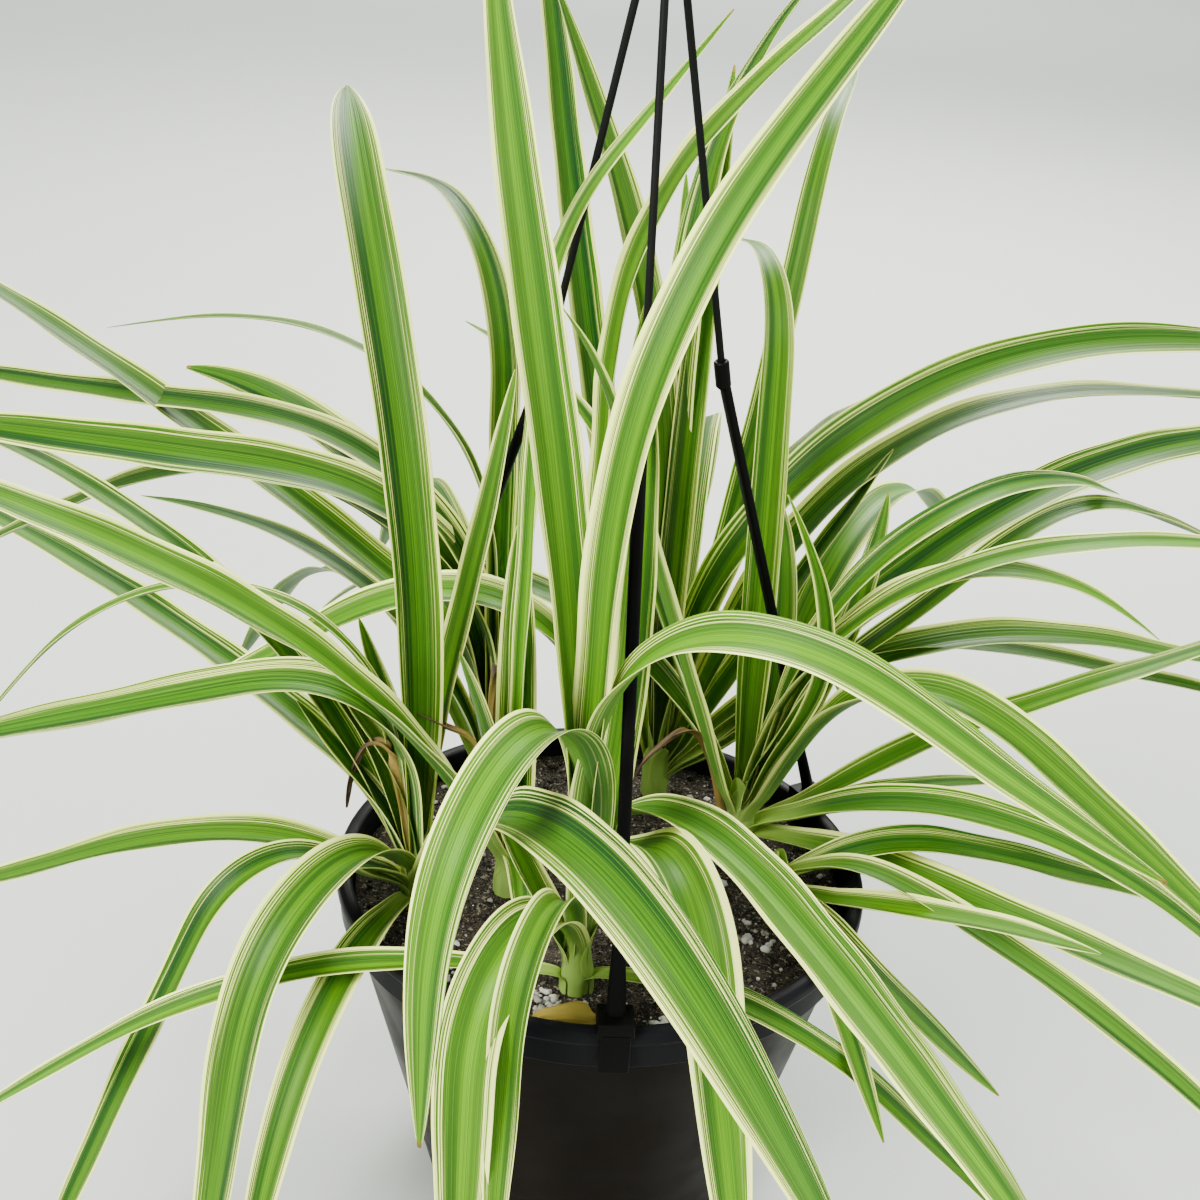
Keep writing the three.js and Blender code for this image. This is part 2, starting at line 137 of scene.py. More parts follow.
# Mesh sides, rounding and other details of the pot and the hanger, finer than the solids
SOCKET_SIDES = 24
ROD_SIDES = 16
HUB_SIDES = 40
BAR_SIDES = 20
BAR_SQUARENESS = 3.2
FOOT_RING = 6
FOOT_HOLLOW = 1.0
BAND_CHAMFER = 0.6
BAND_TUCK = 0.4
LIP_CHAMFER = 0.5
CORNER_ROUND = 0.5
DRAIN_SIDES = 28
CUTTER_DEPTH = 12
STEM_SECTIONS = 12
STEM_SPACING = 1.6
STEM_ROOT = 1
TONGUE_OVERLAP = 2
YOKE_PLASTIC = (0.005, 0.0053, 0.0045)
POT_SHEEN = (1.0, 0.84, 0.66)
SHARP_EDGE = {"pot": 28, "arm": 35, "yoke": 40}

# Blades and sheaths, the same as the solids
CURVE_STEPS = 48
ROOT_SHARE = 0.5
FULL_WIDTH_AT = 0.3
TAPER_START = 4.2
TAPER_DEPTH = 0.97
TAPER_ROUND = 0.8
FOLD_AT_BASE = 34
FOLD_AT_TIP = 10
SHEATH_RADIUS = 7.5
SHEATH_RISE = 16
ROOT_START = 4
ROOT_SPREAD = 4.5

# Crown: how far up a blade clasps it and at which radii, its old leaf bases and its pale core
CLASP_REACH = 24
CLASP_INNER = 1.6
CLASP_OUTER = 5.2
SCALES = 4
SCALE_BLADE = (0.6, 1.0, 0, 0)
SCALE_SHARE = 0.05
CORE_PROFILE = ((CLASP_INNER + 2.2, -2), (CLASP_INNER + 2, 2), (CLASP_INNER + 1.2, 9),
                (CLASP_INNER - 0.4, SHEATH_RISE), (0.5, SHEATH_RISE + 6))
CORE_TONE = (0.2, 0.3, 0.5)

# Finer shape of a blade: stations, keel, edge waves, sway, thin edges and roots
LONG_LEAF = 160
KEEL_ROUND = 0.02
KEEL_DROP = 0.14
KEEL_REACH = 0.87
WAVE_PITCH = (38, 62)
WAVES_FROM = 0.3
WAVE_LAG = 1.9
WAVY_HALF = 6
SWAY = 2.5
SWAY_RATE = 5
TIP_HALF = 0.25
EDGE_THINNING = 0.75
THICK_HALF = 3
WRAP_LIMIT = 2.6
ROOT_DROPS = (1.5, 1.0, 0.5)

# Top of the range for random phases and turns, in radians
FULL_TURN = 6.28

# Grain of a blade's streaks: how many across, how fast they change along it, and detail
BROAD_STREAKS = (1.6, 1.4, 1.0)
FINE_STREAKS = (11.0, 1.2, 2.0)
HAIR_STREAKS = (38.0, 1.5, 1.0)

# Where the bands of a half blade start and end, from 0 at the middle to 1 at the edge; the
# painted shade, a greyer green, lies on the other half
MIDDLE_BAND = (0.34, 0.05)
SHADE_HALF_BAND = (-0.08, -0.50)
DARK_BAND = (0.10, 0.42)
CREAM_HAIRS = (0.52, 0.70)
GREEN_HAIRS = (0.95, 0.86)

# Spread of the margin's start between blades, the blur of its line, and the shift of the grain
MARGIN_SPREAD = 0.14
MARGIN_BLUR = 0.012
SEED_SHIFT = 40.0

# Share of a blade's length that pales to its root, and tones that no setting holds
PALE_ROOT = (0.17, 0.01)
# Darker, greyer tint for old leaves and for painted shade on the rosettes at the back
SHADE_AND_AGE_TINT = (0.36, 0.36, 0.30)
UNDERSIDE = (0.08, 0.15, 0.05)
DRY_TIP = (0.14, 0.07, 0.02)

# Rosettes, the same as the solids: where the crown stands, and a row for each leaf with its
# azimuth, length, width, rise, fall, bend, span, sweep and turn. Rise and fall are the slopes
# in degrees at the root and the tip, bend is where along the leaf it turns from one to the
# other, span is the share of the length that this takes, sweep is how far the azimuth drifts
# and turn is how far the blade rolls by the tip.
ROSETTES = {
    "rosette_front": ((-6, -64), (
        (247, 286, 21, 90, -88, 0.50, 0.72, -2, 0),
        (234, 209, 24, 85, -88, 0.26, 0.61, 28, -15),
        (252, 215, 14, 80, -86, 0.30, 0.50, 0, 0),
        (196, 261, 14, 25, -38, 0.30, 0.94, -20, -2),
        (301, 322, 18, 88, -30, 0.48, 0.55, 61, 50),
        (339, 207, 14, 44, -39, 0.18, 0.97, 11, 1),
        (165, 75, 17, 66, 60, 0.60, 1.00, 0, 0),
        (27, 395, 20, 89, 41, 0.58, 0.52, 22, 24),
        (149, 358, 22, 87, 69, 0.41, 0.75, -37, 0),
        (72, 208, 17, 69, 90, 0.44, 0.47, -11, 0),
    )),
    "rosette_mid": ((-34, -10), (
        (221, 296, 22, 76, 33, 0.27, 1.45, -1, -46),
        (285, 48, 10, 85, -60, 0.40, 0.80, 0, 0),
        (100, 140, 17, 89, 74, 0.50, 1.00, 0, 0),
        (225, 110, 15, 82, 70, 0.50, 1.00, 0, 0),
        (31, 335, 12, 89, 48, 0.72, 0.25, -1, 11),
    )),
    "rosette_centre": ((-8, 16), (
        (309, 281, 24, 88, -11, 0.12, 0.80, -11, 4),
        (291, 255, 24, 35, -64, 0.42, 0.33, 3, 10),
        (185, 247, 24, 90, -31, 0.44, 0.64, -1, -9),
        (26, 420, 17, 90, 40, 0.58, 0.35, 0, 0),
        (51, 222, 21, 60, 92, 0.16, 0.25, 27, 0),
    )),
    "rosette_left": ((-68, -22), (
        (242, 235, 24, 90, -76, 0.23, 0.80, -7, -1),
        (225, 120, 14, 60, -70, 0.40, 0.90, 0, 0),
        (255, 172, 16, 32, -64, 0.33, 1.05, -7, 0),
        (210, 243, 17, 40, -60, 0.25, 0.31, 16, 0),
        (193, 204, 19, 69, -21, 0.16, 1.05, -17, -1),
        (192, 246, 24, 87, -10, 0.34, 0.43, 0, -11),
        (136, 307, 20, 77, 13, 0.08, 0.25, 25, 1),
        (168, 280, 16, 78, 10, 0.39, 1.21, -9, 0),
        (134, 328, 19, 90, 2, 0.71, 1.14, -32, 0),
        (47, 199, 12, 83, 70, 0.37, 0.43, 21, 0),
        (165, 235, 13, 78, 4, 0.45, 0.90, 0, 0),
        (190, 300, 7, 84, -52, 0.48, 0.70, 0, 0),
        (150, 110, 14, 84, 68, 0.50, 1.00, 0, 0),
        (298, 324, 24, 58, -17, 0.44, 1.00, 0, 50),
        (178, 90, 14, 90, 53, 0.17, 1.04, -2, 0),
        (166, 89, 15, 90, 51, 0.47, 0.82, 0, 0),
    )),
    "rosette_rear_left": ((-48, 50), (
        (173, 386, 17, 90, -3, 0.33, 0.54, -17, -27),
        (184, 318, 24, 90, 9, 0.35, 0.56, 10, -47),
        (171, 243, 20, 90, -26, 0.64, 1.44, -21, -50),
        (125, 320, 14, 90, -7, 0.70, 0.42, -2, 2),
        (186, 334, 20, 82, -28, 0.43, 0.71, -8, -1),
        (178, 302, 8, 90, -13, 0.60, 0.73, -2, 1),
        (110, 300, 18, 70, -45, 0.40, 0.90, 0, 0),
        (85, 330, 20, 80, -50, 0.45, 0.80, 0, 0),
        (130, 290, 17, 58, -50, 0.35, 0.90, 0, 0),
        (153, 329, 22, 90, 33, 0.15, 0.25, 33, -15),
        (170, 213, 13, 90, -6, 0.37, 1.29, -16, 0),
    )),
    "rosette_right": ((54, 34), (
        (330, 215, 24, 26, 0, 0.05, 0.58, -4, 3),
        (347, 234, 23, 49, -32, 0.28, 1.16, 1, 1),
        (13, 244, 17, 28, 17, 0.35, 0.25, 2, 0),
        (172, 252, 19, 82, -59, 0.51, 1.50, -26, 0),
        (-16, 303, 13, 80, -22, 0.49, 0.73, 83, 21),
        (-8, 230, 18, 75, -38, 0.62, 0.84, 10, 9),
        (96, 276, 15, 84, -9, 0.79, 0.28, 9, 0),
        (175, 239, 15, 68, 19, 0.77, 0.36, -20, -2),
        (213, 260, 10, 68, 39, 0.89, 0.43, 24, -2),
        (45, 144, 12, 72, 40, 0.90, 0.50, 80, 0),
        (-8, 150, 14, 68, 60, 0.80, 0.60, 86, 0),
        (6, 106, 13, 25, -2, 0.59, 1.19, 1, 0),
        (60, 320, 20, 68, -45, 0.45, 0.80, 0, 0),
        (335, 266, 24, 66, -25, 0.38, 0.45, -16, 8),
        (-22, 289, 15, 90, -6, 0.40, 1.02, 43, 15),
        (122, 256, 7, 87, 130, 0.05, 0.57, -68, 0),
        (131, 96, 14, 90, 117, 0.23, 0.66, 1, 0),
    )),
    "rosette_right_front": ((66, -4), (
        (323, 127, 16, 20, 6, 0.78, 0.97, 2, 0),
        (338, 212, 17, 68, -9, 0.10, 0.34, -36, 0),
        (298, 127, 13, 40, -2, 0.09, 0.25, 7, 0),
        (286, 125, 10, 50, -15, 0.14, 0.64, -3, 0),
        (11, 167, 22, 75, -13, 0.06, 1.03, -10, 0),
    )),
    "rosette_rear_right": ((20, 66), (
        (13, 393, 24, 43, -6, 0.49, 0.70, 33, 35),
        (130, 380, 18, 70, 76, 0.50, 0.70, 0, 0),
        (10, 361, 24, 90, -8, 0.46, 1.17, 0, 40),
        (5, 307, 24, 46, -13, 0.36, 0.82, 12, 1),
        (56, 297, 14, 76, -5, 0.40, 0.89, 0, -1),
        (59, 359, 13, 63, 9, 0.77, 0.25, 20, 0),
        (130, 345, 18, 84, 45, 0.80, 0.50, -120, 0),
        (140, 325, 20, 86, 60, 0.60, 0.60, 0, 0),
        (80, 290, 14, 88, 68, 0.60, 1.00, 0, 0),
        (95, 250, 14, 84, 60, 0.60, 1.00, 0, 0),
        (85, 340, 20, 72, -50, 0.45, 0.80, 0, 0),
        (115, 320, 18, 60, -50, 0.40, 0.80, 0, 0),
        (65, 300, 17, 45, -50, 0.35, 0.90, 0, 0),
        (21, 345, 24, 68, -4, 0.50, 0.76, -15, 0),
        (0, 365, 15, 40, -23, 0.55, 0.25, 40, 0),
        (13, 170, 18, 61, 62, 0.46, 0.29, -4, 2),
        (13, 298, 18, 58, -10, 0.26, 0.72, -12, 1),
    )),
}

# Dead leaves caught in the plant or lying on the soil: width, roll and points along the middle
DRY_LEAVES = (
    (10, 1.1, ((-66, -22, 133), (-70, -24, 168), (-77, -24, 195), (-85, -22, 197), (-91, -20, 184),
               (-94, -19, 168))),
    (8, 0.9, ((-36, -12, 133), (-41, -16, 172), (-48, -19, 198), (-58, -20, 205), (-70, -20, 210),
              (-78, -20, 205))),
    (9, 1.4, ((-44, 44, 133), (-47, 38, 170), (-45, 20, 204), (-40, 8, 214), (-33, 2, 206))),
    (7, 1.2, ((48, 38, 133), (40, 36, 165), (30, 26, 184), (18, 20, 178), (10, 20, 166))),
    (6, 1.3, ((26, -74, 131.5), (36, -66, 133), (44, -52, 132), (46, -42, 133))),
    (6, 1.6, ((-78, 18, 132), (-66, 24, 133), (-52, 20, 132), (-44, 12, 132.5))),
    (6, 1.4, ((40, -20, 132), (30, -14, 133), (18, -16, 132), (8, -24, 132.5))),
)

# Make of a dead leaf: stations between points, columns, tilt, and thickness beside a live one
DRY_STEPS = 12
DRY_COLUMNS = 13
DRY_TILT = 0.4
DRY_SHRINK = 0.6

# The ochre stub of a cut leaf at the front crown, given as the dead leaves are, and its tone
STUB = (13, -1.3, ((-21, -83, 128), (-16, -85, 135), (-8, -85, 137.5), (0, -83, 135),
                   (4, -79, 128)))
STUB_TONE = (0.5, 1.0, 0.2)
STUB_SHARE = 0.4

# Heaps of perlite on the soil: place, reach and number of grains
HEAPS = (
    (-19, -74, 7.5, 60),
    (22, -80, 5.0, 16),
    (-52, -62, 6.0, 22),
    (60, -30, 6.0, 22),
)

# Leaves with a blunt tip, by rosette and place in its list, and how late they taper
BLUNT_LEAVES = {("rosette_left", 8)}
BLUNT_TAPER = 18

# Loose grains: smallest and largest radius, shape, how they lie on the soil, the power that
# makes most of them small, and what they keep clear of
CRUMB_SIZES = (0.5, 2.4)
PERLITE_SIZES = (0.3, 1.9)
CRUMB_SQUASH = 0.7
CRUMB_LUMPS = 0.45
GRAIN_LIFT = 0.1
HEAP_SLOPE = 0.5
MOSTLY_SMALL = 3
ANY_SIZE = 1
SCATTER_CLEAR = 2.5
WALL_CLEAR = 2.0
CROWN_CLEAR = 1.5

# Top of the soil: its mesh, how far its middle height sinks, and its swells by height and pitch
SOIL_RINGS = 46
SOIL_SIDES = 120
SOIL_SINK = 0.2
SOIL_SWELLS = ((1.4, 0.045), (1.0, 0.16), (0.9, 0.5))

# Camera fitted to the photo: place, yaw, pitch and roll in degrees, and its lens
CAMERA_PLACE = (0.0, -0.543, 0.516)
CAMERA_TURN = (-0.727, 26.104, 3.736)
FOCAL_PIXELS = 1711.4
PHOTO_PIXELS = 1200
SENSOR_WIDTH = 36.0

# Soft lights: place, size, which power they take, the share of it, colour and target
PLANT_MIDDLE = (0.0, 0.0, 0.22)
SOFTBOXES = {
    "key": ((-1.2, -1.3, 1.6), 1.3, "key", 1.0, (1.0, 0.99, 0.96), PLANT_MIDDLE),
    "fill": ((1.5, -0.7, 1.2), 1.6, "fill", 1.0, (0.93, 0.97, 1.0), PLANT_MIDDLE),
    "back": ((0.3, 1.6, 1.7), 1.4, "key", 0.8, (1.0, 1.0, 0.95), PLANT_MIDDLE),
    "far": ((0.0, 4.4, 2.6), 3.0, "key", 1.0, (1.0, 1.0, 1.0), (0.0, 4.4, 0.0)),
}
SKY_COLOUR = (0.92, 0.97, 1.0, 1.0)
SKY_STRENGTH = 1.2
FLOOR_RADIUS = 14.0

# How much darker and greyer the leaves of a rosette are, for age and for painted shade that is
# deepest on the rosettes at the back, and how yellow they are, from 0 to 1
TONES = {
    "rosette_front": (0.05, 0.35),
    "rosette_mid": (0.15, 0.15),
    "rosette_centre": (0.10, 0.45),
    "rosette_left": (0.35, 0.15),
    "rosette_rear_left": (0.60, 0.05),
    "rosette_right": (0.25, 0.25),
    "rosette_right_front": (0.20, 0.30),
    "rosette_rear_right": (0.55, 0.10),
}


class LeafSettings(bpy.types.PropertyGroup):
    """Make and colours of the blades"""

    thickness: FloatProperty(
        name="Thickness", description="Thickness of a blade along its middle", default=0.0006,
        min=0.0002, max=0.0008, unit="LENGTH")
    columns: IntProperty(
        name="Columns", description="Strips across one half of a blade", default=6, min=2, max=12)
    wave: FloatProperty(
        name="Edge wave", description="Height of the waves along a blade's edges", default=0.0004,
        min=0.0, max=0.002, unit="LENGTH")
    margin: FloatProperty(
        name="Margin", description="Share of a half blade where the cream margin starts",
        default=0.885, min=0.4, max=0.97, subtype="FACTOR")
    green: FloatVectorProperty(
        name="Green", description="Main green of a blade", default=(0.013, 0.066, 0.0016),
        subtype="COLOR", min=0.0, max=1.0)
    bright: FloatVectorProperty(
        name="Bright green", description="Lighter green of the streaks", subtype="COLOR",
        default=(0.048, 0.156, 0.0028), min=0.0, max=1.0)
    fresh: FloatVectorProperty(
        name="Fresh green", description="Yellow-green of the youngest blades", subtype="COLOR",
        default=(0.125, 0.295, 0.004), min=0.0, max=1.0)
    # Painted shade: the greyer green of the half of a blade painted as if turned from the light
    shade_olive: FloatVectorProperty(
        name="Olive green", description="Duller green of one half of a blade", subtype="COLOR",
        default=(0.050, 0.115, 0.012), min=0.0, max=1.0)
    dark: FloatVectorProperty(
        name="Dark green", description="Darker green of the bands beside the middle",
        default=(0.004, 0.033, 0.008), subtype="COLOR", min=0.0, max=1.0)
    cream: FloatVectorProperty(
        name="Cream", description="Colour of the margins", default=(0.890, 0.985, 0.260),
        subtype="COLOR", min=0.0, max=1.0)
    pale: FloatVectorProperty(
        name="Pale base", description="Colour of the sheaths and blade roots",
        default=(0.240, 0.380, 0.055), subtype="COLOR", min=0.0, max=1.0)


class PotSettings(bpy.types.PropertyGroup):
    """Mesh sides, colours and roughness of the pot"""

    sides: IntProperty(
        name="Sides", description="Faces around the pot", default=160, min=48, max=256)
    plastic: FloatVectorProperty(
        name="Plastic", description="Colour of the pot", default=(0.0026, 0.0012, 0.0003),
        subtype="COLOR", min=0.0, max=1.0)
    # Painted sheen: a lighter bluish colour for the rim band, in place of the sky's reflection on
    # it
    band: FloatVectorProperty(
        name="Rim band", description="Colour of the rim band", default=(0.0070, 0.0074, 0.0086),
        subtype="COLOR", min=0.0, max=1.0)
    roughness: FloatProperty(
        name="Roughness", description="Roughness of the plastic", default=0.38, min=0.0, max=1.0,
        subtype="FACTOR")


class SoilSettings(bpy.types.PropertyGroup):
    """Loose grains and colour of the soil"""

    crumbs: IntProperty(
        name="Crumbs", description="Number of loose crumbs on the soil", default=1400, min=0,
        max=3000)
    perlite: IntProperty(
        name="Perlite", description="Number of perlite grains on the soil", default=620, min=0,
        max=1000)
    peat: FloatVectorProperty(
        name="Peat", description="Colour of the soil", default=(0.030, 0.024, 0.015),
        subtype="COLOR", min=0.0, max=1.0)


class HangerSettings(bpy.types.PropertyGroup):
    """Colour and edges of the hanger"""

    plastic: FloatVectorProperty(
        name="Plastic", description="Colour of the arms", default=(0.0018, 0.0017, 0.0016),
        subtype="COLOR", min=0.0, max=1.0)
    edge: FloatProperty(
        name="Edge round", description="Rounding of the arms' edges", default=0.0005, min=0.0001,
        max=0.001, unit="LENGTH")


class StageSettings(bpy.types.PropertyGroup):
    """Floor colour and light power"""

    floor: FloatVectorProperty(
        name="Floor", description="Colour of the floor", default=(0.40, 0.418, 0.385),
        subtype="COLOR", min=0.0, max=1.0)
    key: FloatProperty(
        name="Key light", description="Power of the main soft light", default=170.0, min=0.0,
        unit="POWER")
    fill: FloatProperty(
        name="Fill light", description="Power of the second soft light", default=40.0, min=0.0,
        unit="POWER")


class NodeKit:
    """Short calls for the nodes of one material."""

    def __init__(self, name):
        self.material = bpy.data.materials.new(name)
        self.material.use_nodes = True
        self.tree = self.material.node_tree
        self.shader = self.tree.nodes["Principled BSDF"]

    def link(self, value, socket):
        """Joins a socket to the given one, or sets a number or colour on it."""
        if isinstance(value, bpy.types.NodeSocket):
            self.tree.links.new(value, socket)
        elif isinstance(value, (int, float)):
            socket.default_value = value
        else:
            socket.default_value = (*value, 1.0) if socket.type == "RGBA" else tuple(value)

    def math(self, operation, *values, clamp=False):
        node = self.tree.nodes.new("ShaderNodeMath")
        node.operation = operation
        node.use_clamp = clamp
        for value, socket in zip(values, node.inputs):
            self.link(value, socket)
        return node.outputs[0]

    def ease(self, value, low, high, to_low=0.0, to_high=1.0):
        """Smooth step of a value between two limits."""
        node = self.tree.nodes.new("ShaderNodeMapRange")
        node.interpolation_type = "SMOOTHSTEP"
        self.link(value, node.inputs["Value"])
        self.link(low, node.inputs["From Min"])
        self.link(high, node.inputs["From Max"])
        self.link(to_low, node.inputs["To Min"])
        self.link(to_high, node.inputs["To Max"])
        return node.outputs["Result"]

    def mix(self, share, a, b, blend="MIX"):
        node = self.tree.nodes.new("ShaderNodeMix")
        node.data_type = "RGBA"
        node.blend_type = blend
        self.link(share, node.inputs["Factor"])
        self.link(a, node.inputs[6])
        self.link(b, node.inputs[7])
        return node.outputs[2]

    def join(self, x, y, z):
        node = self.tree.nodes.new("ShaderNodeCombineXYZ")
        for value, socket in zip((x, y, z), node.inputs):
            self.link(value, socket)
        return node.outputs[0]

    def split(self, vector):
        node = self.tree.nodes.new("ShaderNodeSeparateXYZ")
        self.link(vector, node.inputs[0])
        return node.outputs

    def uv(self):
        node = self.tree.nodes.new("ShaderNodeUVMap")
        node.uv_map = "Blade"
        return node.outputs[0]

    def place(self):
        return self.tree.nodes.new("ShaderNodeTexCoord").outputs["Object"]

    def look(self):
        """A blade's tone: age and painted shade, yellow, seed, and whether it is the underside."""
        node = self.tree.nodes.new("ShaderNodeAttribute")
        node.attribute_name = "look"
        parts = self.tree.nodes.new("ShaderNodeSeparateColor")
        self.tree.links.new(node.outputs["Color"], parts.inputs[0])
        return parts.outputs[0], parts.outputs[1], parts.outputs[2], node.outputs["Alpha"]

    def grain(self, vector, scale, detail=2.0, roughness=0.5):
        node = self.tree.nodes.new("ShaderNodeTexNoise")
        self.link(vector, node.inputs["Vector"])
        node.inputs["Scale"].default_value = scale
        node.inputs["Detail"].default_value = detail
        node.inputs["Roughness"].default_value = roughness
        return node.outputs["Fac"]

    def bump(self, height, distance, strength=1.0):
        node = self.tree.nodes.new("ShaderNodeBump")
        node.inputs["Distance"].default_value = distance
        node.inputs["Strength"].default_value = strength
        self.link(height, node.inputs["Height"])
        self.link(node.outputs[0], self.shader.inputs["Normal"])

    def set(self, **sockets):
        """Gives the shader its values, by socket name with _ for a space."""
        for name, value in sockets.items():
            self.link(value, self.shader.inputs[name.replace("_", " ")])
        return self.material


def add_piece(name, mesh, material, replaced=()):
    """Puts a mesh in the scene on the part's body, and hides the node that it stands for."""
    mesh.materials.append(material)
    piece = bpy.data.objects.new(name, mesh)
    bpy.context.scene.collection.objects.link(piece)
    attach(piece, BODY)
    if replaced:
        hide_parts(*replaced)
    return piece


def finish_piece(built, name, material, replaced=()):
    """The same from a bmesh, which is freed."""
    mesh = bpy.data.meshes.new(name)
    built.to_mesh(mesh)
    built.free()
    return add_piece(name, mesh, material, replaced)


def around(radius, sides, centre=(0, 0)):
    """Points of a level circle."""
    return [(centre[0] + radius * math.cos(2 * math.pi * j / sides),
             centre[1] + radius * math.sin(2 * math.pi * j / sides)) for j in range(sides)]


def join_rows(built, low, high):
    """Quads between two closed rows of points, or triangles where one row is a single point."""
    sides = max(len(low), len(high))
    for j in range(sides):
        k = (j + 1) % sides
        if len(low) == 1:
            built.faces.new((low[0], high[k], high[j]))
        elif len(high) == 1:
            built.faces.new((low[j], low[k], high[0]))
        else:
            built.faces.new((low[j], low[k], high[k], high[j]))


def smooth(x):
    """Step from 0 to 1 with soft ends."""
    x = min(1.0, max(0.0, x))
    return x * x * (3 - 2 * x)


def width_share(s, taper=TAPER_START):
    """Share of a blade's full width along it: clasping at the root, long taper to the tip."""
    root = ROOT_SHARE + (1 - ROOT_SHARE) * smooth(s / FULL_WIDTH_AT)
    return root * (1 - TAPER_DEPTH * s ** taper) ** TAPER_ROUND


def midrib(at, leaf):
    """Points and directions along a leaf's middle, as the solids have them."""
    azimuth, length, _, rise, fall, bend, span, sweep, _ = leaf
    spread = ROOT_SPREAD * math.cos(math.radians(rise))
    x = at[0] + spread * math.cos(math.radians(azimuth))
    y = at[1] + spread * math.sin(math.radians(azimuth))
    z = SOIL_TOP + ROOT_START
    step = length / CURVE_STEPS
    stations = []
    for i in range(CURVE_STEPS + 1):
        s = i / CURVE_STEPS
        slope = math.radians(rise + (fall - rise) * smooth((s - bend) / span + 0.5))
        heading = math.radians(azimuth + sweep * s)
        stations.append((x, y, z, slope, heading))
        x += step * math.cos(slope) * math.cos(heading)
        y += step * math.cos(slope) * math.sin(heading)
        z += step * math.sin(slope)
    return np.array(stations)


def refine(stations, times):
    """The same curve with more stations, smooth through the given ones."""
    points = stations[:, :3]
    before = np.vstack([2 * points[0] - points[1], points[:-2]])
    after = np.vstack([points[2:], 2 * points[-1] - points[-2]])
    out = []
    for k in range(times):
        t = k / times
        p1, p2 = points[:-1], points[1:]
        curve = 0.5 * (2 * p1 + (p2 - before) * t
                       + (2 * before - 5 * p1 + 4 * p2 - after) * t * t
                       + (3 * p1 - before - 3 * p2 + after) * t ** 3)
        turn = stations[:-1, 3:] * (1 - t) + stations[1:, 3:] * t
        out.append(np.hstack([curve, turn]))
    fine = np.stack(out, axis=1).reshape(-1, 5)
    return np.vstack([fine, stations[-1]])


def blade_axes(slope, heading, roll):
    """Directions across a blade and off its upper side, where its middle has this slope."""
    side = np.array((-math.sin(heading), math.cos(heading), 0))
    up = np.array((-math.sin(slope) * math.cos(heading),
                   -math.sin(slope) * math.sin(heading), math.cos(slope)))
    return side * math.cos(roll) + up * math.sin(roll), up * math.cos(roll) - side * math.sin(roll)


def blade_lift(u, s, half, fold, wave, swing):
    """Height across a blade: a rounded keel, and waves that grow towards the edges."""
    keel = half * math.sin(fold) * (np.sqrt(u * u + KEEL_ROUND) - KEEL_DROP) / KEEL_REACH
    ripple = wave * min(1, half / WAVY_HALF) * smooth(s / WAVES_FROM) * u * np.abs(u)
    return keel + ripple * np.sin(swing + (u > 0) * WAVE_LAG)


def blade(at, leaf, clasp, settings, rng, taper=TAPER_START):
    """Rings of points of one blade from the soil to its tip, and where each point is on it."""
    azimuth, length, width, turn = leaf[0], leaf[1], leaf[2], leaf[8]
    stations = refine(midrib(at, leaf), 3 if length > LONG_LEAF else 2)
    count = len(stations)
    u = np.sin(np.linspace(-1, 1, 2 * settings.columns + 1) * math.pi / 2)
    phase = rng.uniform(0, FULL_TURN)
    pitch = rng.uniform(*WAVE_PITCH)
    rings = []
    for i, (x, y, z, slope, heading) in enumerate(stations):
        s = i / (count - 1)
        roll = math.radians(turn * s + SWAY * math.sin(SWAY_RATE * s + phase))
        across, normal = blade_axes(slope, heading, roll)
        half = max(width * width_share(s, taper) / 2, TIP_HALF)
        fold = math.radians(FOLD_AT_BASE + (FOLD_AT_TIP - FOLD_AT_BASE) * s)
        swing = 2 * math.pi * s * length / pitch + phase
        lift = blade_lift(u, s, half, fold, settings.wave / MM, swing)
        thick = settings.thickness / MM * (1 - EDGE_THINNING * u ** 4) * min(1, half / THICK_HALF)
        top = np.array((x, y, z)) + np.outer(u * half * math.cos(fold), across)
        top += np.outer(lift, normal)
        low = top - np.outer(thick, normal)
        hug = 1 - smooth(s * length / CLASP_REACH)
        if hug > 0:
            angle = math.radians(azimuth) + u * min(half / clasp, WRAP_LIMIT)
            radial = np.stack([np.cos(angle), np.sin(angle), 0 * angle], 1)
            sheath = np.array((at[0], at[1], z)) + clasp * radial
            top += hug * (sheath - top)
            low += hug * (sheath + radial * thick[:, None] - low)
        rings.append(np.vstack([top, low[::-1]]))
    roots = [rings[0] - (0, 0, ROOT_START * drop) for drop in ROOT_DROPS]
    along = np.concatenate([np.zeros(len(roots)), np.linspace(0, 1, count)])
    return np.array(roots + rings) * MM, np.concatenate([u, u[::-1]]), along


def crown_scales(leaves, rng):
    """Short old leaf bases for the sides of a crown that have the fewest leaves."""
    taken = [leaf[0] for leaf in leaves]
    rows = []
    for _ in range(SCALES):
        free = max(range(0, 360, 15),
                   key=lambda way: min(abs((way - t + 180) % 360 - 180) for t in taken))
        taken.append(free)
        rows.append((free + rng.uniform(-8, 8), rng.uniform(14, 32), rng.uniform(10, 14),
                     rng.uniform(82, 89), rng.uniform(66, 84), *SCALE_BLADE))
    return rows


def ring_faces(rings, count, offset=0):
    """Quads between rings of points, and a cap on each end."""
    faces = []
    for i in range(rings - 1):
        for j in range(count):
            a = offset + i * count + j
            b = offset + i * count + (j + 1) % count
            faces.append((a, b, b + count, a + count))
    faces.append(tuple(offset + j for j in reversed(range(count))))
    last = offset + (rings - 1) * count
    faces.append(tuple(last + j for j in range(count)))
    return faces


def core_rings(at, sides=16):
    """The crown's inside, a pale cone that closes the gaps between the clasping blades."""
    rings = [[(x, y, SOIL_TOP + z) for x, y in around(r, sides, at)] for r, z in CORE_PROFILE]
    return np.array(rings) * MM


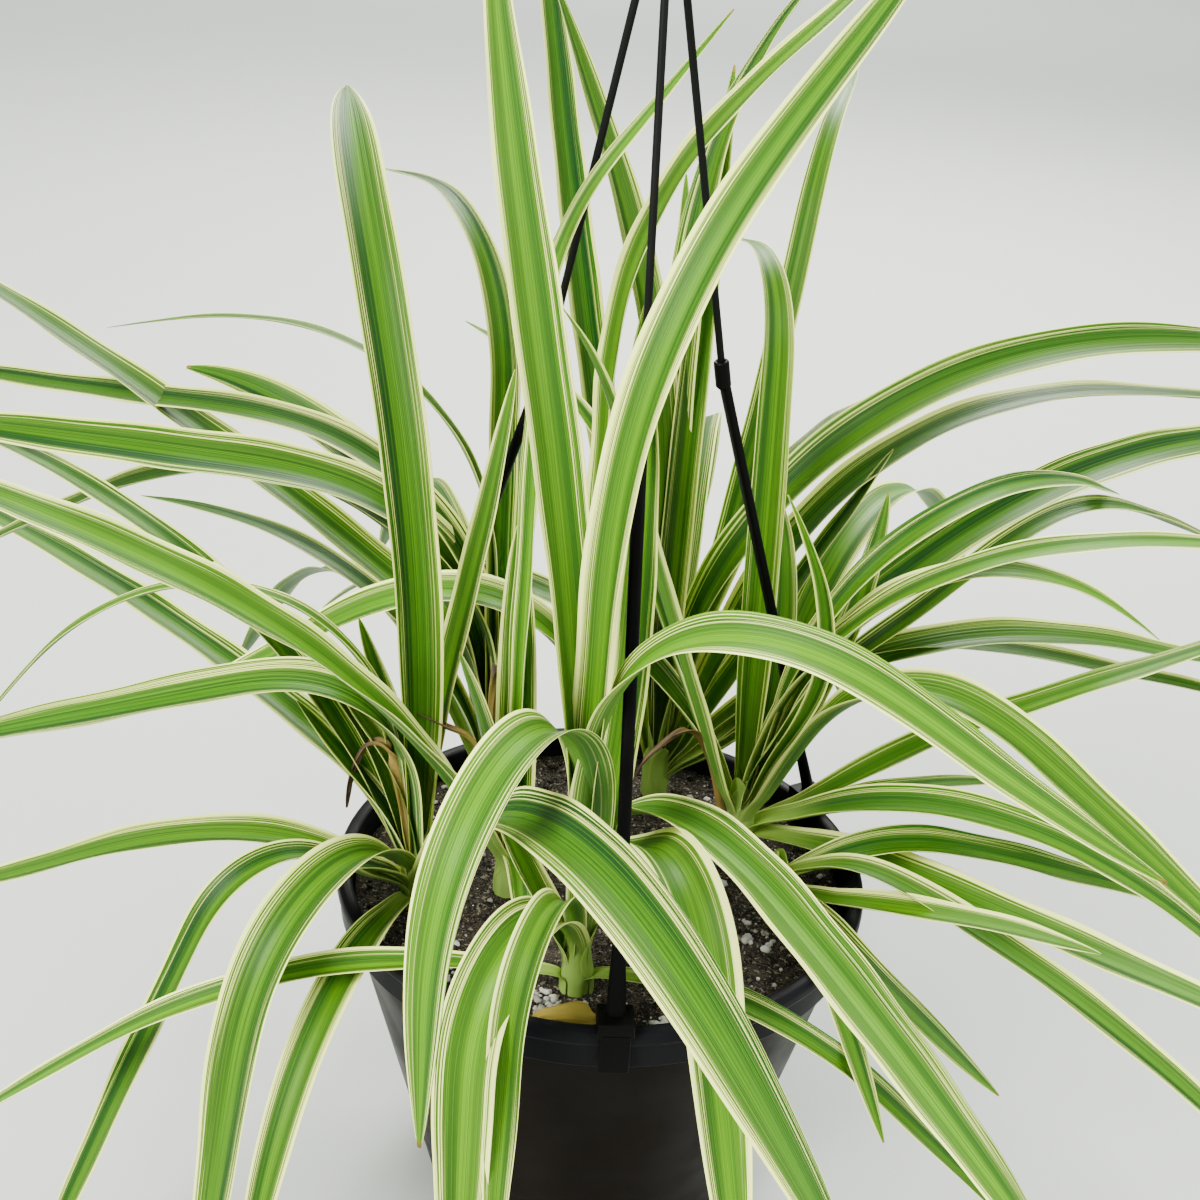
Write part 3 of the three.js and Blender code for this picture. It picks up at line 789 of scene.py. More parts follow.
class LeafPaint(NodeKit):
    """Layers of a striped blade's colour, by the place across and along it and its own seed."""

    def __init__(self, colours):
        super().__init__("striped_leaf")
        self.colours = colours
        self.dull, self.yellow, self.seed, self.under = self.look()
        across, self.along, _ = self.split(self.uv())
        self.side = self.math("MULTIPLY_ADD", across, 2.0, -1.0)
        self.edge = self.math("ABSOLUTE", self.side)
        way = self.math("SIGN", self.math("SUBTRACT", self.seed, 0.5))
        self.lean = self.math("MULTIPLY", self.side, way)
        self.shift = self.math("MULTIPLY", self.seed, SEED_SHIFT)
        self.broad = self.streak(*BROAD_STREAKS)
        self.fine = self.streak(*FINE_STREAKS)
        self.hair = self.streak(*HAIR_STREAKS)

    def streak(self, count, stretch, detail):
        """Noise drawn out along the blade, different on each blade."""
        lanes = self.math("MULTIPLY_ADD", self.side, count, self.shift)
        drawn = self.math("MULTIPLY", self.along, stretch)
        return self.grain(self.join(lanes, drawn, self.shift), 1.0, detail)

    def greens(self):
        """Streaked green with painted shade on one half, a fresh middle, dark bands, hairlines."""
        tones = self.colours
        body = self.mix(self.ease(self.fine, 0.36, 0.62), tones.green, tones.bright)
        middle = self.ease(self.edge, *MIDDLE_BAND, 0.0, 0.9)
        middle = self.math("MULTIPLY", middle, self.ease(self.broad, 0.3, 0.55, 0.3, 1.0))
        # Painted shade: the half picked by the seed turns to a greyer green, as if turned from the
        # light
        body = self.mix(self.ease(self.lean, *SHADE_HALF_BAND, 0.0, 0.55), body, tones.shade_olive)
        body = self.mix(middle, body, self.mix(self.yellow, tones.bright, tones.fresh))
        band = self.math("MULTIPLY", self.ease(self.lean, *DARK_BAND),
                         self.ease(self.broad, 0.36, 0.6, 0.5, 0.95))
        body = self.mix(band, body, tones.dark)
        body = self.mix(self.ease(self.hair, 0.53, 0.60, 0.0, 0.6), body, tones.dark)
        body = self.mix(self.ease(self.hair, 0.42, 0.36, 0.0, 0.4), body, tones.fresh)
        return self.mix(self.math("MULTIPLY", self.yellow, 0.3), body, tones.fresh)

    def stripes(self):
        """Share of cream: a margin of uneven width, with thin stripes beside it and in it."""
        start = self.math("MULTIPLY_ADD", self.seed, MARGIN_SPREAD,
                          self.colours.margin - MARGIN_SPREAD / 2)
        start = self.math("MULTIPLY_ADD", self.lean, 0.05, start)
        start = self.math("MULTIPLY_ADD", self.math("SUBTRACT", self.broad, 0.5), 0.3, start)
        reach = self.math("MULTIPLY_ADD", self.fine, 0.12, self.math("SUBTRACT", self.edge, 0.06))
        margin = self.ease(self.math("SUBTRACT", reach, start), -MARGIN_BLUR, MARGIN_BLUR)
        cream_hairs = self.math("MULTIPLY", self.ease(self.edge, *CREAM_HAIRS),
                                self.ease(self.hair, 0.56, 0.60, 0.0, 0.85))
        green_hairs = self.math("MULTIPLY", self.ease(self.edge, *GREEN_HAIRS),
                                self.ease(self.hair, 0.44, 0.40, 0.0, 0.5))
        cream = self.math("MAXIMUM", margin, cream_hairs)
        return self.math("SUBTRACT", cream, green_hairs, clamp=True)

    def wear_and_shade(self, colour):
        """Adds the pale root, old and shaded tones, the underside and a dry tip on some."""
        colour = self.mix(self.ease(self.along, *PALE_ROOT, 0.0, 0.95), colour, self.colours.pale)
        # Painted shade and age: a darker, greyer tint, strongest on the rosettes at the back
        colour = self.mix(self.dull, colour, SHADE_AND_AGE_TINT, "MULTIPLY")
        colour = self.mix(self.math("MULTIPLY", self.under, 0.3), colour, UNDERSIDE)
        tip = self.ease(self.math("MULTIPLY_ADD", self.fine, 0.02, self.along), 0.998, 1.008)
        dry = self.math("MULTIPLY", tip, self.ease(self.seed, 0.55, 0.6))
        return self.mix(dry, colour, DRY_TIP)


def leaf_material(colours):
    """Striped blade with fine ribs, a low sheen and some light spread under its surface."""
    kit = LeafPaint(colours)
    colour = kit.wear_and_shade(kit.mix(kit.stripes(), kit.greens(), colours.cream))
    kit.bump(kit.math("MULTIPLY_ADD", kit.hair, 0.5, kit.fine), 0.0003, 0.7)
    return kit.set(Base_Color=colour, Roughness=kit.ease(kit.fine, 0.2, 0.8, 0.34, 0.48),
                   Subsurface_Weight=0.2, Subsurface_Radius=(0.7, 1.0, 0.15),
                   Subsurface_Scale=0.003, Specular_IOR_Level=0.08)


def dry_material():
    """Brown papery leaf with veins and blotches; the yellow tone turns its root ochre."""
    kit = NodeKit("dead_leaf")
    _, yellow, seed, _ = kit.look()
    across, along, _ = kit.split(kit.uv())
    shift = kit.math("MULTIPLY", seed, 30.0)
    lanes = kit.join(kit.math("MULTIPLY", across, 14.0), kit.math("MULTIPLY", along, 3.0), shift)
    veins = kit.grain(lanes, 1.0, 3.0)
    blotch = kit.grain(kit.place(), 160.0, 3.0)
    colour = kit.mix(kit.ease(veins, 0.35, 0.65), (0.036, 0.021, 0.011), (0.125, 0.078, 0.036))
    colour = kit.mix(kit.ease(blotch, 0.5, 0.62, 0.0, 0.7), colour, (0.022, 0.012, 0.008))
    fresh = kit.math("MULTIPLY", yellow, kit.ease(along, 0.62, 0.42))
    colour = kit.mix(fresh, colour, (0.34, 0.25, 0.035))
    kit.bump(kit.math("MULTIPLY_ADD", blotch, 0.6, veins), 0.0006, 0.9)
    return kit.set(Base_Color=colour, Roughness=kit.ease(veins, 0.3, 0.7, 0.62, 0.85),
                   Specular_IOR_Level=0.25)


def plastic_material(name, colour, roughness, mottle=0.15, shine=0.04, tint=(1.0, 1.0, 1.0),
                     band=None):
    """Moulded plastic with faint dust and a fine grain; the rim band has a painted bluish sheen."""
    kit = NodeKit(name)
    place = kit.place()
    cloud = kit.grain(place, 40.0, 3.0)
    speck = kit.grain(place, 900.0, 2.0)
    dusty = tuple(min(1.0, 2.6 * c + 0.0008) for c in colour)
    base = kit.mix(kit.ease(cloud, 0.45, 0.8, 0.0, mottle), tuple(colour), dusty)
    # Painted sheen: above its foot the rim band takes a lighter bluish colour for the sky's
    # reflection
    if band is not None:
        edge = BAND_FOOT * MM
        base = kit.mix(kit.ease(kit.split(place)[2], edge - MM, edge + MM), base, tuple(band))
    kit.bump(speck, 0.00006, 0.35)
    return kit.set(Base_Color=base, Specular_IOR_Level=shine, Specular_Tint=tint,
                   Roughness=kit.ease(cloud, 0.3, 0.7, roughness - 0.05, roughness + 0.09))


def soil_material(colour):
    """Dark peat in clumps, with lighter grit and a few pale flecks."""
    kit = NodeKit("peat_soil")
    place = kit.place()
    clump = kit.grain(place, 240.0, 6.0, 0.7)
    grit = kit.grain(place, 1300.0, 3.0, 0.6)
    fleck = kit.grain(place, 620.0, 1.0)
    dark = tuple(0.12 * c for c in colour)
    light = tuple(min(1.0, 3.4 * c) for c in colour)
    base = kit.mix(kit.ease(clump, 0.42, 0.58), dark, tuple(colour))
    base = kit.mix(kit.ease(grit, 0.53, 0.62, 0.0, 0.9), base, light)
    base = kit.mix(kit.ease(fleck, 0.62, 0.68, 0.0, 0.7), base, (0.24, 0.22, 0.15))
    kit.bump(kit.math("ADD", clump, kit.math("MULTIPLY", grit, 0.6)), 0.0022, 1.0)
    return kit.set(Base_Color=base, Roughness=0.95, Specular_IOR_Level=0.2)


def perlite_material():
    """Rough off-white grains, stained by the soil in places."""
    kit = NodeKit("perlite")
    place = kit.place()
    cloud = kit.grain(place, 700.0, 3.0)
    stain = kit.grain(place, 110.0, 2.0)
    white = kit.mix(cloud, (0.26, 0.25, 0.19), (0.66, 0.66, 0.58))
    white = kit.mix(kit.ease(stain, 0.40, 0.62, 0.0, 0.75), white, (0.12, 0.105, 0.070))
    kit.bump(cloud, 0.0004, 0.8)
    return kit.set(Base_Color=white, Roughness=0.9)


def blade_piece(name, parts, material, replaced=()):
    """One piece from rings of points, with their places on the blade and their tones."""
    verts, faces, uvs, looks = [], [], [], []
    for rings, u, along, tone in parts:
        count = rings.shape[1]
        faces += ring_faces(len(rings), count, len(verts))
        verts += [tuple(p) for p in rings.reshape(-1, 3)]
        uvs.append(np.stack([np.tile(u * 0.5 + 0.5, len(rings)), np.repeat(along, count)], 1))
        under = np.tile((np.arange(count) >= count // 2).astype(float), len(rings))
        looks.append(np.hstack([np.tile(np.clip(tone, 0, 1), (len(under), 1)), under[:, None]]))
    mesh = bpy.data.meshes.new(name)
    mesh.from_pydata(verts, [], faces)
    mesh.validate()
    mesh.shade_smooth()
    add_piece(name, mesh, material, replaced)
    uvs, looks = np.vstack(uvs), np.vstack(looks)
    corners = np.zeros(len(mesh.loops), np.int32)
    mesh.loops.foreach_get("vertex_index", corners)
    layer = mesh.uv_layers.new(name="Blade")
    layer.data.foreach_set("uv", uvs[corners].astype(np.float32).ravel())
    look = mesh.color_attributes.new("look", "FLOAT_COLOR", "POINT")
    look.data.foreach_set("color", looks.astype(np.float32).ravel())


def dry_strip(width, roll, points, thickness, rng):
    """Rings of one dead leaf through the given points, rolled in on itself and creased."""
    padded = np.hstack([np.array(points, float), np.zeros((len(points), 2))])
    path = refine(padded, DRY_STEPS)[:, :3]
    ahead = np.gradient(path, axis=0)
    ahead /= np.linalg.norm(ahead, axis=1)[:, None]
    facing = rng.uniform(0, FULL_TURN)
    hint = (DRY_TILT * math.sin(facing), DRY_TILT * math.cos(facing), 1.0)
    side = np.cross(ahead, hint)
    side /= np.linalg.norm(side, axis=1)[:, None]
    up = np.cross(side, ahead)
    v = np.linspace(-1, 1, DRY_COLUMNS)
    phase = rng.uniform(0, FULL_TURN)
    rings = []
    for k, point in enumerate(path):
        s = k / (len(path) - 1)
        half = width / 2 * (0.75 + 0.25 * math.sin(5 * s + phase)) * (1 - 0.9 * s ** 5)
        bend = roll * (1 + 0.35 * math.sin(9 * s + phase))
        out = half / bend * np.sin(v * bend)
        lift = half / bend * (1 - np.cos(v * bend))
        lift = lift + 0.35 * np.sin(6 * v + phase + 11 * s) * min(1, half / 2)
        top = point + np.outer(out, side[k]) + np.outer(lift, up[k])
        rings.append(np.vstack([top, (top - up[k] * DRY_SHRINK * thickness / MM)[::-1]]))
    tone = (0.5, rng.uniform(0.2, 1.0), rng.random())
    return np.array(rings) * MM, np.concatenate([v, v[::-1]]), np.linspace(0, 1, len(path)), tone


class PLANT_OT_leaves(bpy.types.Operator):
    """Builds each rosette's sheath and striped blades"""

    bl_idname = "spider_plant.leaves"
    bl_label = "Leaves"

    def execute(self, context):
        settings = context.scene.plant_leaves
        material = leaf_material(settings)
        for index, (name, (at, leaves)) in enumerate(ROSETTES.items()):
            rng = random.Random(LEAF_SEED + index)
            self.rosette(name, at, leaves, settings, material, rng)
        self.dead_leaves(settings.thickness)
        return {"FINISHED"}

    def rosette(self, name, at, leaves, settings, material, rng):
        """One piece of a rosette's blades; the steepest ones clasp the crown innermost."""
        dull, yellow = TONES[name]
        parts = []
        order = sorted(range(len(leaves)), key=lambda i: -leaves[i][3])
        for i, leaf in enumerate(leaves):
            share = order.index(i) / max(1, len(leaves) - 1)
            clasp = CLASP_INNER + (CLASP_OUTER - CLASP_INNER) * share ** 0.7
            taper = BLUNT_TAPER if (name, i) in BLUNT_LEAVES else TAPER_START
            rings, u, along = blade(at, leaf, clasp, settings, rng, taper)
            tone = (dull + rng.uniform(-0.15, 0.2), yellow + rng.uniform(-0.2, 0.35), rng.random())
            parts.append((rings, u, along, tone))
        for leaf in crown_scales(leaves, rng):
            rings, u, along = blade(at, leaf, CLASP_OUTER + rng.uniform(0, 0.8), settings, rng)
            tone = (0.1, rng.uniform(0.3, 1.0), rng.random())
            parts.append((rings, u, along * SCALE_SHARE, tone))
        core = core_rings(at)
        parts.append((core, np.zeros(core.shape[1]), np.zeros(len(core)), CORE_TONE))
        blade_piece(name + "_blades", parts, material, (name,))

    def dead_leaves(self, thickness):
        """The dead leaves and the ochre stub, as one piece."""
        rng = random.Random(DRY_SEED)
        parts = [dry_strip(*row, thickness, rng) for row in DRY_LEAVES]
        rings, u, along, _ = dry_strip(*STUB, thickness, rng)
        parts.append((rings, u, STUB_SHARE * along, STUB_TONE))
        blade_piece("dry_leaves", parts, dry_material())


def lathe(profile, sides):
    """Closed profile of radius and height turned about Z; points on the axis merge."""
    built = bmesh.new()
    rows = []
    for radius, height in profile:
        spots = around(radius * MM, sides) if radius > 0 else [(0, 0)]
        rows.append([built.verts.new((x, y, height * MM)) for x, y in spots])
    for low, high in zip(rows, rows[1:]):
        join_rows(built, low, high)
    bmesh.ops.recalc_face_normals(built, faces=built.faces)
    return built


def apply_modifiers(piece):
    """Puts the piece's modified mesh in place of its own."""
    depsgraph = bpy.context.evaluated_depsgraph_get()
    mesh = bpy.data.meshes.new_from_object(piece.evaluated_get(depsgraph))
    old = piece.data
    piece.modifiers.clear()
    piece.data = mesh
    bpy.data.meshes.remove(old)


def soften(piece, degrees):
    """Smooth shading that keeps edges sharper than the given angle."""
    built = bmesh.new()
    built.from_mesh(piece.data)
    limit = math.radians(degrees)
    for face in built.faces:
        face.smooth = True
    for edge in built.edges:
        edge.smooth = len(edge.link_faces) == 2 and edge.calc_face_angle(0) < limit
    built.to_mesh(piece.data)
    built.free()


def wall_radius(z):
    """Radius of the pot's tapered wall at a height."""
    return BASE_RADIUS + (WALL_TOP_RADIUS - BASE_RADIUS) * (z / BAND_FOOT)


def rounded(corners, sharp, steps=4):
    """A profile with each inner corner turned into a small arc of the given size."""
    out = [corners[0]]
    for before, corner, after in zip(corners, corners[1:], corners[2:]):
        c = Vector(corner)
        a, b = Vector(before) - c, Vector(after) - c
        reach = min(sharp, 0.45 * a.length, 0.45 * b.length)
        start, end = c + a.normalized() * reach, c + b.normalized() * reach
        for k in range(steps + 1):
            t = k / steps
            out.append(tuple(start * (1 - t) ** 2 + c * 2 * t * (1 - t) + end * t * t))
    out.append(corners[-1])
    return out


class PLANT_OT_pot(bpy.types.Operator):
    """Turns the pot with its stepped band, rolled lip and drain holes"""

    bl_idname = "spider_plant.pot"
    bl_label = "Pot"

    def execute(self, context):
        settings = context.scene.plant_pot
        material = plastic_material("pot_plastic", settings.plastic, settings.roughness,
                                    shine=0.03, tint=POT_SHEEN, band=settings.band)
        shell = lathe(rounded(self.profile(), CORNER_ROUND), settings.sides)
        piece = finish_piece(shell, "pot_shell", material, ("pot",))
        self.drill(context, piece)
        piece.data.shade_smooth()
        soften(piece, SHARP_EDGE["pot"])
        return {"FINISHED"}

    def profile(self):
        """The pot's section, from the middle of its underside, up outside and down inside."""
        ring = BASE_RADIUS - FOOT_RING
        return [
            (0, FOOT_HOLLOW), (ring - FOOT_ROUND, FOOT_HOLLOW), (ring, 0),
            (BASE_RADIUS - FOOT_ROUND, 0), (BASE_RADIUS, FOOT_ROUND),
            (wall_radius(BAND_FOOT), BAND_FOOT + BAND_CHAMFER),
            (BAND_RADIUS - BAND_TUCK, BAND_FOOT), (BAND_RADIUS, BAND_FOOT + BAND_CHAMFER),
            (BAND_RADIUS + BAND_FLARE, POT_HEIGHT - LIP_HEIGHT),
            (RIM_RADIUS, POT_HEIGHT - LIP_HEIGHT + LIP_SLOPE), (RIM_RADIUS, POT_HEIGHT - LIP_ROUND),
            (RIM_RADIUS - LIP_CHAMFER, POT_HEIGHT - LIP_CHAMFER),
            (RIM_RADIUS - LIP_ROUND, POT_HEIGHT), (LIP_BORE + LIP_ROUND, POT_HEIGHT),
            (LIP_BORE + LIP_CHAMFER, POT_HEIGHT - LIP_CHAMFER),
            (LIP_BORE, POT_HEIGHT - LIP_ROUND), (LIP_BORE, POT_HEIGHT - BORE_DEPTH),
            (wall_radius(BAND_FOOT) - WALL, BAND_FOOT), (wall_radius(FLOOR) - WALL, FLOOR),
            (0, FLOOR),
        ]

    def drill(self, context, piece):
        """Cuts the drain holes through the floor."""
        cutter = bmesh.new()
        for i in range(DRAIN_COUNT):
            angle = 2 * math.pi * (i + 0.5) / DRAIN_COUNT
            spot = Matrix.Translation((DRAIN_CIRCLE * MM * math.cos(angle),
                                       DRAIN_CIRCLE * MM * math.sin(angle), 0))
            bmesh.ops.create_cone(cutter, cap_ends=True, segments=DRAIN_SIDES,
                                  radius1=DRAIN_RADIUS * MM, radius2=DRAIN_RADIUS * MM,
                                  depth=CUTTER_DEPTH * MM, matrix=spot)
        mesh = bpy.data.meshes.new("drain_cutter")
        cutter.to_mesh(mesh)
        cutter.free()
        tool = bpy.data.objects.new("drain_cutter", mesh)
        context.scene.collection.objects.link(tool)
        holes = piece.modifiers.new("drains", "BOOLEAN")
        holes.object = tool
        holes.solver = "EXACT"
        apply_modifiers(piece)
        bpy.data.objects.remove(tool)


def crumb(built, centre, size, rng):
    """One small lump, uneven, turned at random and a little flat."""
    angle = rng.uniform(0, FULL_TURN)
    axis = Vector((rng.gauss(0, 1), rng.gauss(0, 1), rng.gauss(0, 1))).normalized()
    turn = Matrix.Rotation(angle, 4, axis)
    made = bmesh.ops.create_icosphere(built, subdivisions=1, radius=1.0)
    seed = Vector((rng.uniform(0, 90), rng.uniform(0, 90), 0))
    stretch = Vector((rng.uniform(0.7, 1.3), rng.uniform(0.7, 1.2), CRUMB_SQUASH))
    for vert in made["verts"]:
        lump = 1 + CRUMB_LUMPS * noise.noise(vert.co * 1.3 + seed)
        shaped = turn @ (vert.co * lump)
        vert.co = Vector(centre) + Vector((shaped.x * stretch.x, shaped.y * stretch.y,
                                           shaped.z * stretch.z)) * size


class PLANT_OT_soil(bpy.types.Operator):
    """Lays crumbly soil in the pot, with loose crumbs and perlite on top"""

    bl_idname = "spider_plant.soil"
    bl_label = "Soil"

    def execute(self, context):
        settings = context.scene.plant_soil
        material = soil_material(settings.peat)
        edge = wall_radius(BAND_FOOT) - WALL - GAP
        foot = wall_radius(FLOOR) - WALL - GAP
        built = bmesh.new()
        rows = [[built.verts.new((0, 0, self.height(0, 0)))]]
        for i in range(1, SOIL_RINGS + 1):
            rows.append([built.verts.new((x * MM, y * MM, self.height(x, y)))
                         for x, y in around(edge * i / SOIL_RINGS, SOIL_SIDES)])
        for radius, height in ((edge, BAND_FOOT), (foot, FLOOR + GAP)):
            rows.append([built.verts.new((x, y, height * MM))
                         for x, y in around(radius * MM, SOIL_SIDES)])
        for low, high in zip(rows, rows[1:]):
            join_rows(built, low, high)
        built.faces.new(list(reversed(rows[-1])))
        bmesh.ops.recalc_face_normals(built, faces=built.faces)
        piece = finish_piece(built, "soil_body", material, ("soil",))
        piece.data.shade_smooth()
        self.scatter("soil_crumbs", settings.crumbs, CRUMB_SIZES, material,
                     random.Random(CRUMB_SEED), edge)
        self.scatter("perlite_grains", settings.perlite, PERLITE_SIZES, perlite_material(),
                     random.Random(PERLITE_SEED), edge, HEAPS)
        return {"FINISHED"}

    def height(self, x, y):
        """Height of the soil at a place on it, in metres."""
        spot = Vector((x, y, 0))
        swell = sum(rise * noise.noise(spot * pitch) for rise, pitch in SOIL_SWELLS)
        return (SOIL_TOP - SOIL_SINK + swell) * MM

    def scatter(self, name, count, sizes, material, rng, edge, heaps=()):
        """One piece of loose grains: some all over the soil, mostly small, and some in heaps."""
        spots = []
        while len(spots) < count:
            radius = (edge - SCATTER_CLEAR) * math.sqrt(rng.random())
            angle = rng.uniform(0, 2 * math.pi)
            spots.append((radius * math.cos(angle), radius * math.sin(angle), 0.0, MOSTLY_SMALL))
        for x, y, spread, grains in heaps:
            for _ in range(grains):
                out, angle = spread * math.sqrt(rng.random()), rng.uniform(0, 2 * math.pi)
                rise = rng.random() * HEAP_SLOPE * (spread - out)
                spots.append((x + out * math.cos(angle), y + out * math.sin(angle), rise,
                              ANY_SIZE))
        built = bmesh.new()
        for x, y, rise, power in spots:
            near = min(math.hypot(x - at[0], y - at[1]) for at, _ in ROSETTES.values())
            if near < SHEATH_RADIUS + CROWN_CLEAR or math.hypot(x, y) > edge - WALL_CLEAR:
                continue
            size = sizes[0] + (sizes[1] - sizes[0]) * rng.random() ** power
            at = (x * MM, y * MM, self.height(x, y) + (rise + size * GRAIN_LIFT) * MM)
            crumb(built, at, size * MM, rng)
        piece = finish_piece(built, name, material)
        piece.data.shade_smooth()


def bar_rings(sections):
    """Rings of a bar through sections (x, z, width, depth), with softly rounded edges."""
    rings = []
    for x, z, width, depth in sections:
        ring = []
        for j in range(BAR_SIDES):
            angle = 2 * math.pi * (j + 0.5) / BAR_SIDES
            c, s = math.cos(angle), math.sin(angle)
            r = (abs(c) ** BAR_SQUARENESS + abs(s) ** BAR_SQUARENESS) ** (-1 / BAR_SQUARENESS)
            ring.append((x + r * c * depth / 2, r * s * width / 2, z))
        rings.append(ring)
    return rings


def add_rings(built, rings):
    """Skins rings of points in millimetres, with a cap on each end."""
    rows = [[built.verts.new(Vector(p) * MM) for p in ring] for ring in rings]
    for low, high in zip(rows, rows[1:]):
        join_rows(built, low, high)
    built.faces.new(list(reversed(rows[0])))
    built.faces.new(rows[-1])
    return [v for row in rows for v in row]


def add_block(built, x, width, z, round_by):
    """A block about the XZ plane with rounded edges, from its ends in x and z in millimetres."""
    size = Vector((x[1] - x[0], width, z[1] - z[0])) * MM
    middle = Vector(((x[0] + x[1]) / 2, 0, (z[0] + z[1]) / 2)) * MM
    place = Matrix.Translation(middle) @ Matrix.Diagonal((*size, 1))
    made = bmesh.ops.create_cube(built, size=1, matrix=place)
    built.edges.index_update()
    edges = sorted({e for v in made["verts"] for e in v.link_edges}, key=lambda e: e.index)
    bmesh.ops.bevel(built, geom=edges, offset=round_by, segments=3, affect="EDGES", profile=0.6)


def along_leg():
    """Takes a piece made along +Z to the knuckle, with the lean of the upper leg."""
    run = KNUCKLE_RADIUS - HUB_RADIUS / 2
    lean = math.atan2(run, HUB_HEIGHT - KNUCKLE_HEIGHT)
    move = Matrix.Translation(Vector((KNUCKLE_RADIUS, 0, KNUCKLE_HEIGHT)) * MM)
    return move @ Matrix.Rotation(-lean, 4, "Y")


def round_rings(profile, sides):
    """Rings of a turned piece from its radii and heights."""
    return [[(x, y, z) for x, y in around(r, sides)] for r, z in profile]


class PLANT_OT_hanger(bpy.types.Operator):
    """Builds the three clip-on arms and the yoke with its hook"""

    bl_idname = "spider_plant.hanger"
    bl_label = "Hanger"

    def execute(self, context):
        settings = context.scene.plant_hanger
        material = plastic_material("hanger_plastic", settings.plastic, 0.40, 0.10)
        for side, angle in ARM_ANGLES.items():
            self.arm(side, angle, settings.edge, material)
        self.yoke(plastic_material("yoke_plastic", YOKE_PLASTIC, 0.45, 0.15))
        return {"FINISHED"}

    def arm(self, side, angle, edge, material):
        """A clip over the rim, a stem leaning in to the knuckle, and the socket on its end."""
        built = bmesh.new()
        outer = RIM_RADIUS + GAP
        inner = LIP_BORE - GAP
        seat = POT_HEIGHT + GAP
        top = POT_HEIGHT + CLIP_RISE
        tongue_top = seat + TONGUE_OVERLAP
        for x, width, z, softer in (
            ((inner - CLIP_THICK, outer + CLIP_THICK), CLIP_TOP_WIDTH, (seat, top), 1.6),
            ((outer, outer + CLIP_THICK), CLIP_WIDTH, (POT_HEIGHT - OUTER_TONGUE, tongue_top), 1.4),
            ((inner - CLIP_THICK, inner), CLIP_WIDTH, (POT_HEIGHT - INNER_TONGUE, tongue_top), 1.0),
        ):
            add_block(built, x, width, z, edge * softer)
        sections = []
        for k in range(STEM_SECTIONS + 1):
            t = (k / STEM_SECTIONS) ** STEM_SPACING
            z = top - STEM_ROOT + (KNUCKLE_HEIGHT - top + STEM_ROOT) * t
            x = FOOT_RADIUS + (KNUCKLE_RADIUS - FOOT_RADIUS) * t
            flare = 1 - smooth((z - top) / FOOT_FLARE)
            sections.append((x, z, STEM_WIDTH + (FOOT_WIDTH - STEM_WIDTH) * flare, STEM_DEPTH))
        add_rings(built, bar_rings(sections))
        moved = add_rings(built, round_rings(SOCKET_PROFILE, SOCKET_SIDES))
        bmesh.ops.transform(built, matrix=along_leg(), verts=moved)
        turn = Matrix.Rotation(math.radians(angle), 3, "Z")
        bmesh.ops.rotate(built, verts=built.verts, matrix=turn)
        bmesh.ops.recalc_face_normals(built, faces=built.faces)
        piece = finish_piece(built, "arm_" + side, material,
                             ("hanger_arm_" + side,))
        soften(piece, SHARP_EDGE["arm"])

    def yoke(self, material):
        """The three upper legs with the hub and the hook."""
        built = bmesh.new()
        for angle in ARM_ANGLES.values():
            moved = add_rings(built, round_rings(LEG_PROFILE, ROD_SIDES))
            turn = Matrix.Rotation(math.radians(angle), 4, "Z")
            bmesh.ops.transform(built, matrix=turn @ along_leg(), verts=moved)
        add_rings(built, round_rings(HUB_PROFILE, HUB_SIDES))
        path = [(0, HUB_HEIGHT), (0, HOOK_CENTRE - HOOK_RADIUS - HOOK_NECK)]
        for degrees in HOOK_TURN:
            path.append((HOOK_RADIUS * math.cos(math.radians(degrees)),
                         HOOK_CENTRE + HOOK_RADIUS * math.sin(math.radians(degrees))))
        add_rings(built, self.hook_rings(np.array(path, float)))
        bmesh.ops.recalc_face_normals(built, faces=built.faces)
        piece = finish_piece(built, "yoke_and_hook", material, ("hanger_yoke",))
        soften(piece, SHARP_EDGE["yoke"])

    def hook_rings(self, path):
        """Rings of the hook's rod along a smooth curve through the path, thinner at its ends."""
        padded = np.hstack([path, np.zeros((len(path), 3))])
        fine = refine(padded[:, [0, 2, 1, 3, 4]], 6)[:, [0, 2]]
        ahead = np.gradient(fine, axis=0)
        ahead /= np.linalg.norm(ahead, axis=1)[:, None]
        rings = []
        for k, ((x, z), (dx, dz)) in enumerate(zip(fine, ahead)):
            radius = HOOK_ROD * (HOOK_END if k in (0, len(fine) - 1) else 1.0)
            rings.append([(x + c * dz, s, z - c * dx) for c, s in around(radius, ROD_SIDES)])
        return rings


